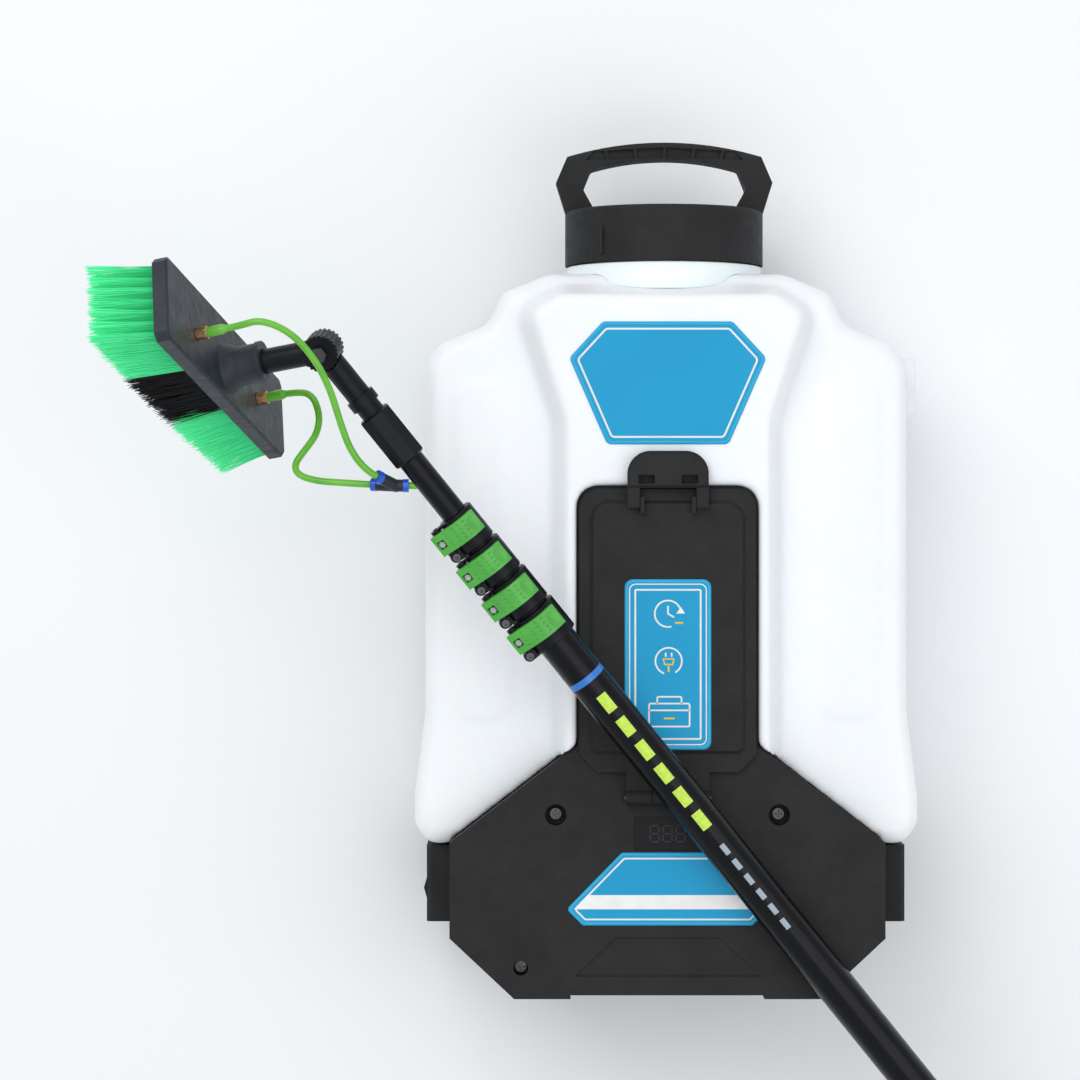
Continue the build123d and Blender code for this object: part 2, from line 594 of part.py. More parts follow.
def make_battery():
    width, tall, deep = BATTERY_SIZE
    low = BAY_FLOOR + DOCK_HEIGHT + 0.3
    back = COLUMN_BACK + BASE_WALL + 0.3
    pack = block(-width / 2, width / 2, low, low + tall, back, back + deep)
    pack = fillet(pack.edges().filter_by(Axis.Z), 5)
    pack = chamfer(pack.edges().group_by(Axis.Z)[-1], 2)
    for x in (-18, 0, 18):
        pack -= block(x - 1.5, x + 1.5, low - 1, low + 12, COLUMN_BACK + 19, COLUMN_BACK + 41)
    pack -= block(-width / 2 - 1, width / 2 + 1, low + tall * 0.55, low + tall * 0.6, back + deep - 1.5,
                  back + deep + 1)
    return pack


def rocker_axis():
    x = -FLANGE_SIDE + ROCKER_SIZE[0] / 2
    return Pos(x, up(ROCKER_HEIGHT), ROCKER_DEPTH)


def make_rocker():
    depth, tall, across = ROCKER_SIZE
    half = tall / 2 - 1.2
    points = [(depth / 2 - 1.5, -half + 1), (-depth / 2 - 0.8, -half), (-depth / 2 - 3.6, 0),
              (-depth / 2 - 0.8, half), (depth / 2 - 1.5, half - 1)]
    face = make_face(Polyline(points, close=True))
    return rocker_axis() * (Pos(0, 0, -across / 2) * extrude(face, across))


def make_pump_head():
    width, tall, deep = PUMP_HEAD_SIZE
    x, height = PUMP_HEAD_AT
    low = COVER_THICKNESS + 0.1
    head = block(x - width / 2, x + width / 2, height - tall / 2, height + tall / 2, low, low + deep)
    head = chamfer(head.edges().filter_by(Axis.Z), 6)
    head += upright(SUCTION_X, PORT_DEPTH) * rod(PORT_RADIUS, height + tall / 2 - 1, height + tall / 2 + 14)
    socket = rod(OUTLET_STEM + RUNNING_FIT, height - tall / 2 - 1, height - tall / 2 + 8)
    head -= upright(OUTLET_X, PORT_DEPTH) * socket
    return head


def make_pump_motor():
    x, height = PUMP_HEAD_AT
    right = x - PUMP_HEAD_SIZE[0] / 2 - 0.1
    depth = COVER_THICKNESS + 0.2 + MOTOR_RADIUS
    axis = Plane(origin=(right, up(height), depth), x_dir=(0, 1, 0), z_dir=(-1, 0, 0))
    motor = rod(MOTOR_RADIUS, 0, MOTOR_LENGTH)
    motor = chamfer(motor.edges().filter_by(GeomType.CIRCLE), 2)
    return axis.location * (motor + rod(8, MOTOR_LENGTH - 1, MOTOR_LENGTH + 5))


def make_suction_hose():
    low = PUMP_HEAD_AT[1] + PUMP_HEAD_SIZE[1] / 2 + 0.2
    high = COLUMN_ROOT - TANK_WALL - 1.5
    return upright(SUCTION_X, PORT_DEPTH) * ring(PORT_RADIUS + 2.5, PORT_RADIUS + 0.02, low, high)


OUTLET_SEAT = FOOT_STEP + OUTLET_LENGTH


def make_outlet():
    """The spigot for the delivery hose, with its thinner stem up to the pump."""
    fitting = rod(PORT_RADIUS, FOOT_STEP, OUTLET_SEAT)
    fitting += rod(OUTLET_STEM, OUTLET_SEAT, PUMP_HEAD_AT[1] - PUMP_HEAD_SIZE[1] / 2 + 7)
    fitting += rod(PORT_RADIUS + 4, OUTLET_SEAT + BASE_WALL + 0.2, OUTLET_SEAT + BASE_WALL + 4)
    fitting -= rod(PORT_RADIUS - 1.8, 0, 200)
    return upright(OUTLET_X, PORT_DEPTH) * fitting


def make_outlet_cup():
    """The round pocket between the feet that the spigot stands in."""
    cup = rod(OUTLET_POCKET + BASE_WALL, FOOT_STEP, OUTLET_SEAT + BASE_WALL)
    cup -= rod(OUTLET_POCKET, -1, OUTLET_SEAT + RUNNING_FIT)
    cup -= rod(OUTLET_STEM + RUNNING_FIT, 0, 60)
    return upright(OUTLET_X, PORT_DEPTH) * cup


# ---------------------------------------------------------------- harness, window and labels
def make_frame():
    half = FRAME_HALF_WIDTH
    frame = block(-half, half, *FRAME_HEIGHTS, 0, TANK_BACK - 0.3)
    frame = fillet(frame.edges().filter_by(Axis.Z), 24)
    inner, outer = FRAME_POCKET
    for side in (-1, 1):
        x0, x1 = sorted((side * inner, side * outer))
        pocket = block(x0, x1, FRAME_HEIGHTS[0] + 14, FRAME_HEIGHTS[1] - 14, -1, FRAME_POCKET_DEPTH)
        frame -= fillet(pocket.edges().filter_by(Axis.Z), 12)
        for height in (FRAME_HEIGHTS[0] + 7, FRAME_HEIGHTS[1] - 7):
            frame -= block(x0 + 12, x1 - 12, height - 3, height + 3, -1, 9)
    return frame


def make_straps():
    straps = []
    inner, outer = FRAME_POCKET
    top = FRAME_POCKET_DEPTH - 0.3
    for side in (-1, 1):
        x0, x1 = sorted((side * (inner + STRAP_MARGIN), side * (outer - STRAP_MARGIN)))
        strap = block(x0, x1, FRAME_HEIGHTS[0] + 22, FRAME_HEIGHTS[1] - 22, top - STRAP_THICKNESS, top)
        strap = fillet(strap.edges().filter_by(Axis.Z), 10)
        straps.append(chamfer(strap.edges().group_by(Axis.Z)[0], 2.5))
    return Compound(children=straps)


def make_window():
    width, tall = WINDOW_SIZE
    low = BASE_FRONT - WINDOW_THICKNESS - 0.5
    return block(-width / 2 + 0.2, width / 2 - 0.2, WINDOW_HEIGHT - tall / 2 + 0.2,
                 WINDOW_HEIGHT + tall / 2 - 0.2, low, low + WINDOW_THICKNESS)


def upper_label_face():
    middle = UPPER_LABEL_MIDDLE
    face = outline([(-48, middle + 45), (48, middle + 45), (73, middle + 18), (45, middle - 46),
                    (-45, middle - 46), (-73, middle + 18)])
    return fillet(face.vertices(), 5)


def lower_label_face():
    low, tip, high = LOWER_LABEL_HEIGHTS
    face = outline([(-34, high), (34, high), (75, tip), (63, low), (-63, low), (-75, tip)])
    return fillet(face.vertices(), 3)


def make_front_labels():
    upper = slab(upper_label_face(), PANEL_FRONT + 0.05, PANEL_FRONT + LABEL_THICKNESS)
    lower = slab(lower_label_face(), BASE_FRONT + 0.05, BASE_FRONT + LABEL_THICKNESS)
    return Compound(children=[upper, lower])


def make_door_label():
    face = Pos(0, up(DOOR_LABEL_MIDDLE)) * RectangleRounded(*DOOR_LABEL_SIZE, 6)
    return slab(face, DOOR_FACE + 0.05, DOOR_FACE + LABEL_THICKNESS)


# ---------------------------------------------------------------- pole: radii and places
TUBE_STEP = TUBE_WALL + TUBE_GAP
TUBE_RADII = [BASE_TUBE_RADIUS - index * TUBE_STEP for index in range(SECTIONS)]
CLAMP_PLACES = [FIRST_CLAMP - index * CLAMP_PITCH for index in range(SECTIONS - 1)]


def leaning_tilt():
    """The slope at which the foot's rim stands on the floor and the tube lies on the base's edge."""
    tilt = 0.0
    for _ in range(40):
        drop = rest_depth(tilt) - FOOT_RADIUS * math.cos(tilt)
        tilt = math.asin(drop / (POLE_LENGTH - KNUCKLE_TO_REST / math.cos(tilt)))
    return tilt


def rest_depth(tilt):
    """How far the pole's axis stands off the floor where the tube crosses the base's edge."""
    return BASE_FRONT + (BASE_TUBE_RADIUS + REST_GAP) / math.cos(tilt)


TILT = leaning_tilt()
LEVEL = math.cos(TILT)
TO_BRUSH = Vector(math.cos(POLE_HEADING) * LEVEL, math.sin(POLE_HEADING) * LEVEL, math.sin(TILT))
TO_FOOT = -TO_BRUSH
SIDE = Vector(math.sin(POLE_HEADING), -math.cos(POLE_HEADING), 0)
KNUCKLE = (Vector(POLE_REST[0], up(POLE_REST[1]), rest_depth(TILT))
           + TO_BRUSH * (KNUCKLE_TO_REST / LEVEL))
POLE = Plane(origin=KNUCKLE, x_dir=SIDE, z_dir=TO_FOOT).location

HINGE_AXIS = TO_BRUSH.cross(ARM).normalized()
BRUSH_AXIS = (BRUSH_AXIS_HINT - ARM * BRUSH_AXIS_HINT.dot(ARM)).normalized()
ANGLE_JOINT = Plane(origin=KNUCKLE, x_dir=TO_BRUSH, z_dir=HINGE_AXIS).location
ARM_FRAME = Plane(origin=KNUCKLE, x_dir=HINGE_AXIS, z_dir=ARM).location
BRUSH_BACK = KNUCKLE + ARM * BRUSH_REACH
BRUSH = Plane(origin=BRUSH_BACK, x_dir=BRUSH_AXIS, z_dir=ARM).location
BRUSH_SIDE = ARM.cross(BRUSH_AXIS)

PORT_POINT = KNUCKLE + TO_FOOT * PORT_AT
Y_MIDDLE = PORT_POINT - Y_STEM * Y_TO_AXIS


def brush_point(along, across, out):
    """A point by its place along and across the brush, and out of the block's back."""
    return BRUSH_BACK + BRUSH_AXIS * along + BRUSH_SIDE * across + ARM * out


def make_tube(index):
    radius = TUBE_RADII[index]
    low = POLE_LENGTH - 4 - TUBE_STAGGER * index
    high = CLAMP_PLACES[index] - CLAMP_LIP if index < SECTIONS - 1 else TUBE_TOP
    tube = POLE * ring(radius, radius - TUBE_WALL, high, low)
    if index == SECTIONS - 1:
        hole = Plane(origin=PORT_POINT, z_dir=-Y_STEM).location * rod(HOSE_RADIUS + 0.5, 0, 40)
        tube -= hole
    return tube


def make_foot():
    """The cap on the base tube's lower end, bored for a supply hose."""
    foot = rod(FOOT_RADIUS, POLE_LENGTH - FOOT_LENGTH, POLE_LENGTH)
    foot = chamfer(foot.edges().group_by(Axis.Z)[0], 1.5)
    foot -= rod(BASE_TUBE_RADIUS + 0.02, POLE_LENGTH - FOOT_LENGTH - 1, POLE_LENGTH - 3.9)
    foot -= rod(FOOT_BORE, POLE_LENGTH - 5, POLE_LENGTH + 1)
    return POLE * foot


def around_pole(angle, radius):
    """A point on a clamp's cross-section; the pole's right side is at 0 and its front at 90 degrees."""
    turn = math.radians(angle)
    return Vector(math.cos(turn), math.sin(turn), 0) * radius


def at_angle(angle, radius, place):
    """Frame on a clamp's side, its Z pointing out from the pole's axis."""
    origin = around_pole(angle, radius) + Vector(0, 0, place)
    return Plane(origin=origin, x_dir=(0, 0, 1), z_dir=around_pole(angle, 1)).location


def clamp_radius(index):
    return TUBE_RADII[index] + CLAMP_WALL


def tail_point(index, along, out):
    """A point on the lever's flat part: along it from where the curve ends, and out from its inside."""
    end = LEVER_ANGLES[1]
    start = around_pole(end, clamp_radius(index) + LEVER_GAP + out)
    return start + around_pole(end + 90, along)


def pin_place(index):
    return tail_point(index, PIN_ALONG, -PIN_IN)


def bolt_frame(index):
    """Frame on the clamp's fixing bolt, in the middle of its lug, its Z pointing to the front."""
    origin = (-clamp_radius(index) - CLAMP_BOLT_OUT, 0, CLAMP_PLACES[index] + CLAMP_BOLT_OFFSET)
    return Plane(origin=origin, x_dir=(0, 0, 1), z_dir=(0, 1, 0)).location


def make_clamp(index):
    place = CLAMP_PLACES[index]
    outer = clamp_radius(index)
    pin = pin_place(index)
    pin_angle = math.degrees(math.atan2(pin.Y, pin.X))
    body = rod(outer, place - CLAMP_ABOVE, place + CLAMP_BELOW)
    body = chamfer(body.edges().filter_by(GeomType.CIRCLE), 0.8)
    half = LEVER_WIDTH / 2 + 0.3
    for low, high in ((-EAR_REACH, -half), (half, EAR_REACH)):
        arm = Pos(pin.length / 2, 0, place + (low + high) / 2) * Box(pin.length, 6.4, high - low)
        body += Pos(pin) * rod(EAR_RADIUS, place + low, place + high) + Rot(0, 0, pin_angle) * arm
    lug_half, lug_thick = CLAMP_LUG
    body += bolt_frame(index) * rod(lug_half, -lug_thick / 2, lug_thick / 2)
    web = Pos(-outer - CLAMP_BOLT_OUT / 2 + 3, 0, place + CLAMP_BOLT_OFFSET)
    body += web * Box(CLAMP_BOLT_OUT + 6, lug_thick, 2 * lug_half)
    body -= Pos(pin) * rod(LEVER_KNUCKLE + 0.5, place - half, place + half)
    body -= rod(TUBE_RADII[index] + 0.02, place - CLAMP_LIP - 0.1, place + 40)
    body -= rod(TUBE_RADII[index + 1] + 0.3, place - 40, place)
    body -= Pos(pin) * rod(PIN_RADIUS + RUNNING_FIT, place - 40, place + 40)
    body -= bolt_frame(index) * rod(CLAMP_BOLT_RADIUS + RUNNING_FIT, -20, 20)
    return POLE * body


def lever_profile(index):
    """The lever's plate, seen along the pole: curved over the clamp, then flat out to its pin."""
    inner = clamp_radius(index) + LEVER_GAP
    outer = inner + LEVER_THICKNESS
    first, last = LEVER_ANGLES
    band = Circle(outer) - Circle(inner)
    wedge = [Vector(0, 0, 0)]
    for step in range(5):
        wedge.append(around_pole(first + (last - first) * step / 4, 2 * outer))
    corners = [tail_point(index, -0.5, 0), tail_point(index, -0.5, LEVER_THICKNESS),
               tail_point(index, LEVER_TAIL, LEVER_THICKNESS), tail_point(index, LEVER_TAIL, 0)]
    return (band & make_face(Polyline(wedge, close=True))) + make_face(Polyline(corners, close=True))


def window_frame(index):
    """Frame on the middle of the lever's window, at the plate's inside, its Z pointing out."""
    origin = tail_point(index, WINDOW_ALONG, 0) + Vector(0, 0, CLAMP_PLACES[index])
    return Plane(origin=origin, x_dir=(0, 0, 1), z_dir=around_pole(LEVER_ANGLES[1], 1)).location


def make_lever(index):
    place = CLAMP_PLACES[index]
    pin = pin_place(index)
    half = LEVER_WIDTH / 2
    inner = clamp_radius(index) + LEVER_GAP
    lever = Pos(0, 0, place - half) * extrude(lever_profile(index), LEVER_WIDTH)
    lever += Pos(pin) * rod(LEVER_KNUCKLE, place - half, place + half)
    lever -= Pos(pin) * rod(PIN_RADIUS + RUNNING_FIT, place - 30, place + 30)
    dish = at_angle(DISH_ANGLE, inner + LEVER_THICKNESS + 11, place) * Sphere(12.4)
    window = Pos(0, 0, LEVER_FLOOR + 6) * Box(LEVER_WINDOW, LEVER_WINDOW, 12)
    return POLE * (lever - dish - window_frame(index) * window)


def make_lever_bolt(index):
    bolt = hexagon(LEVER_BOLT, LEVER_FLOOR + 0.05, LEVER_FLOOR + 3)
    return POLE * (window_frame(index) * (bolt - rod(1.2, LEVER_FLOOR + 2, LEVER_FLOOR + 4)))


def make_clamp_hardware(index):
    """The lever's pin and the clamp's fixing bolt."""
    place = CLAMP_PLACES[index]
    pin = Pos(pin_place(index)) * rod(PIN_RADIUS, place - EAR_REACH - 0.8, place + EAR_REACH + 0.2)
    face = CLAMP_LUG[1] / 2
    bolt = rod(CLAMP_BOLT_RADIUS, -face - 0.8, face + 0.5)
    bolt += rod(CLAMP_BOLT_HEAD, face + 0.05, face + 3)
    bolt -= hexagon(1.5, face + 1.4, face + 4)
    return Compound(children=[POLE * pin, POLE * (bolt_frame(index) * bolt)])


# ---------------------------------------------------------------- angle joint
def toothed_disc(low, high):
    disc = rod(DISC_RADIUS, low, high)
    for index in range(DISC_TEETH):
        notch = Pos(DISC_RADIUS, 0, 0) * rod(TOOTH_RADIUS, low - 1, high + 1)
        disc -= Rot(0, 0, 360 * index / DISC_TEETH) * notch
    return ANGLE_JOINT * disc


def make_angle_lower():
    stem = rod(NECK_TUBE_RADIUS, 0, SLEEVE_SPAN[0] + 1)
    stem += rod(COLLAR_RADIUS, *COLLAR_SPAN)
    across_corners = SLEEVE_FLATS / 2 / math.cos(math.pi / 8)
    sleeve = extrude(RegularPolygon(across_corners, 8, rotation=22.5), SLEEVE_SPAN[1] - SLEEVE_SPAN[0])
    sleeve = Pos(0, 0, SLEEVE_SPAN[0]) * sleeve
    sleeve = chamfer(sleeve.edges().group_by(Axis.Z)[0] + sleeve.edges().group_by(Axis.Z)[-1], 1.2)
    body = POLE * (stem + sleeve - rod(TUBE_RADII[-1] + 0.02, TUBE_TOP - 0.2, 200))
    clear = ANGLE_JOINT * rod(DISC_RADIUS + 0.7, -DISC_GAP, 40)
    body = body - clear + toothed_disc(-DISC_THICKNESS, -DISC_GAP)
    return body - ANGLE_JOINT * rod(ANGLE_BOLT_RADIUS + RUNNING_FIT, -40, 40)


def make_angle_upper():
    body = ARM_FRAME * rod(NECK_TUBE_RADIUS, 0, ARM_END)
    clear = ANGLE_JOINT * rod(DISC_RADIUS + 0.7, -40, DISC_GAP)
    body = body - clear + toothed_disc(DISC_GAP, DISC_THICKNESS)
    return body - ANGLE_JOINT * rod(ANGLE_BOLT_RADIUS + RUNNING_FIT, -40, 40)


def make_angle_bolt():
    bolt = rod(ANGLE_BOLT_RADIUS, -DISC_THICKNESS - 1, DISC_THICKNESS + 1)
    bolt += hexagon(ANGLE_BOLT_HEAD, DISC_THICKNESS + 0.1, DISC_THICKNESS + 4.1)
    bolt += rod(ANGLE_BOLT_HEAD, -DISC_THICKNESS - 3.1, -DISC_THICKNESS - 0.1)
    return ANGLE_JOINT * bolt


# ---------------------------------------------------------------- brush
JETS = [(side * JET_SPACING, JET_OFFSET) for side in (1, -1)]


def make_brush_block():
    length, width, thick = BLOCK_SIZE
    plate = Pos(0, BLOCK_OFFSET, thick / 2) * Box(length, width, thick)
    plate = chamfer(plate.edges().filter_by(Axis.Z), BLOCK_CHAMFER)
    plate = chamfer(plate.edges().group_by(Axis.Z)[0], 1.5)
    flare = Pos(0, 0, -4.5) * Cone(SOCKET_RADIUS + 5, SOCKET_RADIUS, 9, rotation=(180, 0, 0))
    rim = rod(SOCKET_RADIUS + 0.9, -SOCKET_LENGTH, -SOCKET_LENGTH + 4)
    plate = plate + rod(SOCKET_RADIUS, -SOCKET_LENGTH, 1) + rim + flare
    plate -= rod(NECK_TUBE_RADIUS + 0.05, -SOCKET_LENGTH - 1, ARM_END - BRUSH_REACH + 0.2)
    for x, y in JETS:
        plate -= Pos(x, y) * rod(JET_RADIUS + 0.02, -10, thick + 1)
    return BRUSH * plate


def make_jets():
    jets = []
    thick = BLOCK_SIZE[2]
    for x, y in JETS:
        jet = rod(JET_RADIUS, -JET_BACK + 3, thick + BRISTLE_SLICE + JET_FRONT)
        jet += hexagon(JET_HEX, -8, -0.1)
        jet += rod(HOSE_RADIUS + 0.8, -JET_BACK, -JET_BACK + 9)
        jet -= rod(1.1, -JET_BACK - 1, thick + 60)
        jets.append(BRUSH * (Pos(x, y) * jet))
    return Compound(children=jets)


def bristle_places(low, high):
    """Along and across the brush, for each strand of one colour; odd rows are shifted by half a pitch."""
    step_x, step_y = BRISTLE_PITCH
    places = []
    count = int(2 * BRISTLE_SPAN / step_x)
    for row in range(BRISTLE_ROWS):
        y = BLOCK_OFFSET + (row - (BRISTLE_ROWS - 1) / 2) * step_y
        for column in range(count + 1):
            x = -BRISTLE_SPAN + step_x * (column + 0.5 * (row % 2))
            near_jet = min(math.hypot(x - jx, y - jy) for jx, jy in JETS) < JET_RADIUS + 3
            if low <= x <= high and not near_jet:
                places.append((x, y))
    return places


def make_bristles(low, high):
    """Strands that spread a little from the block, fused to the slice that holds them."""
    thick = BLOCK_SIZE[2]
    width = BLOCK_SIZE[1] - 4
    strands = []
    for x, y in bristle_places(low + BRISTLE_WIDTH, high - BRISTLE_WIDTH):
        lean = Vector(BRISTLE_FLARE[0] * x, BRISTLE_FLARE[1] * (y - BLOCK_OFFSET), BRISTLE_LENGTH)
        foot = Pos(x, y, thick + BRISTLE_SLICE - 0.5) * Rectangle(BRISTLE_WIDTH, BRISTLE_WIDTH)
        strands.append(Solid.extrude(foot.face(), lean))
    slice_low = max(low, -BRISTLE_SPAN - 3)
    slice_high = min(high, BRISTLE_SPAN + 3)
    holder = Box(slice_high - slice_low, width, BRISTLE_SLICE - 0.1)
    holder = Pos((slice_low + slice_high) / 2, BLOCK_OFFSET, thick + BRISTLE_SLICE / 2) * holder
    for x, y in JETS:
        holder -= Pos(x, y) * rod(JET_RADIUS + 0.4, thick - 1, thick + 5)
    return BRUSH * holder.fuse(*strands)


# ---------------------------------------------------------------- hoses and their connector
def legs():
    return [(LEG_A, LEG_LENGTH), (LEG_B, LEG_LENGTH), (Y_STEM, STEM_LENGTH)]


def make_y_connector():
    body = None
    for direction, length in legs():
        leg = Plane(origin=Y_MIDDLE, z_dir=direction).location * rod(LEG_RADIUS, -2, length)
        body = leg if body is None else body + leg
    return body


def make_y_collets():
    collets = []
    for direction, length in legs():
        frame = Plane(origin=Y_MIDDLE, z_dir=direction).location
        collets.append(frame * rod(COLLET_RADIUS, length, length + COLLET_LENGTH))
    return Compound(children=collets)


def rounded_route(points, name):
    """Straight runs joined by tangent arcs, each as large as its two runs allow."""
    radii = []
    for before, here, after in zip(points, points[1:], points[2:]):
        turn = math.radians((here - before).get_angle(after - here))
        shorter = min((here - before).length, (after - here).length)
        radii.append(0.45 * shorter / math.tan(turn / 2))
    print(name, "radii", [round(radius, 1) for radius in radii])
    return FilletPolyline(*points, radius=radii)


def make_hose(points, name):
    path = rounded_route(points, name)
    start = Plane(origin=points[0], z_dir=(points[1] - points[0]).normalized())
    hose = sweep(start * Circle(HOSE_RADIUS), path=path)
    expected = math.pi * HOSE_RADIUS ** 2 * path.length
    print(name, "length", round(path.length, 1), "volume ratio", round(hose.volume / expected, 4))
    return hose


JET_ENDS = [brush_point(x, y, -JET_BACK - 0.05) for x, y in JETS]
HOSE_A_END = Y_MIDDLE + LEG_A * (LEG_LENGTH + COLLET_LENGTH + 0.05)
HOSE_B_END = Y_MIDDLE + LEG_B * (LEG_LENGTH + COLLET_LENGTH + 0.05)
# free points of the two hoses, between the jets and the connector
HOSE_A_POINTS = [
    Vector(-290.0, 195.6, 351.0), Vector(-268.6, 186.4, 347.0), Vector(-252.4, 167.2, 334.0),
    Vector(-243.2, 147.8, 322.0), Vector(-237.4, 127.2, 312.0), Vector(-230.4, 105.8, 303.0),
]
HOSE_B_POINTS = [
    Vector(-260.7, 147.6, 243.0), Vector(-254.5, 132.1, 249.0), Vector(-256.5, 117.9, 254.0),
    Vector(-265.0, 106.1, 259.0), Vector(-272.5, 95.7, 263.0), Vector(-269.6, 87.8, 267.0),
    Vector(-255.1, 83.5, 271.0), Vector(-235.5, 82.3, 275.0),
]


def hose_route(start, free_points, end, leg, first_run, last_run):
    """Straight out of the jet, through the free points, and straight into the connector's leg."""
    return [start, start - ARM * first_run] + free_points + [end + leg * last_run, end]


def make_inner_hose():
    """Out of the connector, through the innermost tube's side and down the pole to its foot."""
    start = Y_MIDDLE + Y_STEM * (STEM_LENGTH + COLLET_LENGTH + 0.05)
    end = KNUCKLE + TO_FOOT * (POLE_LENGTH - 90)
    path = FilletPolyline(start, PORT_POINT, end, radius=FEED_BEND)
    face = Plane(origin=start, z_dir=Y_STEM) * Circle(HOSE_RADIUS)
    return sweep(face, path=path)


# ---------------------------------------------------------------- build every piece
def build_tank():
    save(make_tank(), "tank_shell")
    save(make_neck(), "filler_neck")
    save(make_strainer(), "neck_strainer")
    save(make_gasket(), "cap_gasket")
    save(make_cap(), "filler_cap")
    save(make_base(), "base_housing")
    save(make_back_cover(), "base_back_cover")
    save(make_screws(), "cover_screws")
    save(make_hinge_pin(), "door_hinge_pin")
    save(make_door(), "battery_door")
    save(make_latch(), "door_latch")
    save(make_dock(), "battery_dock")
    save(make_battery(), "battery_pack")
    save(make_rocker(), "power_rocker")
    save(make_pump_head(), "pump_head")
    save(make_pump_motor(), "pump_motor")
    save(make_suction_hose(), "suction_hose")
    save(make_outlet(), "outlet_fitting")
    save(make_outlet_cup(), "outlet_cup")
    save(make_frame(), "harness_frame")
    save(make_straps(), "shoulder_straps")
    save(make_window(), "display_window")
    save(make_front_labels(), "front_labels")
    save(make_door_label(), "door_label")


def build_pole():
    for index in range(SECTIONS):
        save(make_tube(index), f"pole_tube_{index + 1}")
    for index in range(SECTIONS - 1):
        save(make_clamp(index), f"clamp_body_{index + 1}")
        save(make_lever(index), f"clamp_lever_{index + 1}")
        save(make_lever_bolt(index), f"lever_bolt_{index + 1}")
        save(make_clamp_hardware(index), f"clamp_hardware_{index + 1}")
    save(make_foot(), "pole_foot")
    save(make_angle_lower(), "angle_joint_lower")
    save(make_angle_upper(), "angle_joint_arm")
    save(make_angle_bolt(), "angle_joint_bolt")
    save(make_inner_hose(), "inner_hose")


def build_brush():
    save(make_brush_block(), "brush_block")
    save(make_jets(), "spray_jets")
    near = make_bristles(BLACK_SPAN[1], BRISTLE_SPAN + 10)
    far = make_bristles(-BRISTLE_SPAN - 10, BLACK_SPAN[0])
    save(Compound(children=[near, far]), "green_bristles")
    save(make_bristles(*BLACK_SPAN), "black_bristles")
    save(make_y_connector(), "y_connector")
    save(make_y_collets(), "y_collets")
    upper = hose_route(JET_ENDS[0], HOSE_A_POINTS, HOSE_A_END, LEG_A, 14, 10)
    lower = hose_route(JET_ENDS[1], HOSE_B_POINTS, HOSE_B_END, LEG_B, 12, 11)
    save(make_hose(upper, "hose_upper"), "hose_upper")
    save(make_hose(lower, "hose_lower"), "hose_lower")
    for name, route in (("hose_upper", upper), ("hose_lower", lower)):
        print(name, "route", [tuple(round(part, 1) for part in point) for point in route])


build_tank()
build_pole()
build_brush()
print("tilt", round(math.degrees(TILT), 3), "knuckle", KNUCKLE, "to brush", TO_BRUSH)
print("hinge axis", HINGE_AXIS, "arm", ARM, "brush axis", BRUSH_AXIS, "brush side", BRUSH_SIDE)
print("jet ends", JET_ENDS, "connector", Y_MIDDLE)
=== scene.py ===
# %% [markdown]
# # A window cleaning pole system in Blender
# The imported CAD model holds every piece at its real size. This lesson gives the pieces their looks:
# a soft blow-moulded tank, textured black plastic, a brush full of filaments, and two light green
# hoses that bend when the brush turns. Units are metres, in the CAD model's own frame.

# %% Load the frame
import json
import math

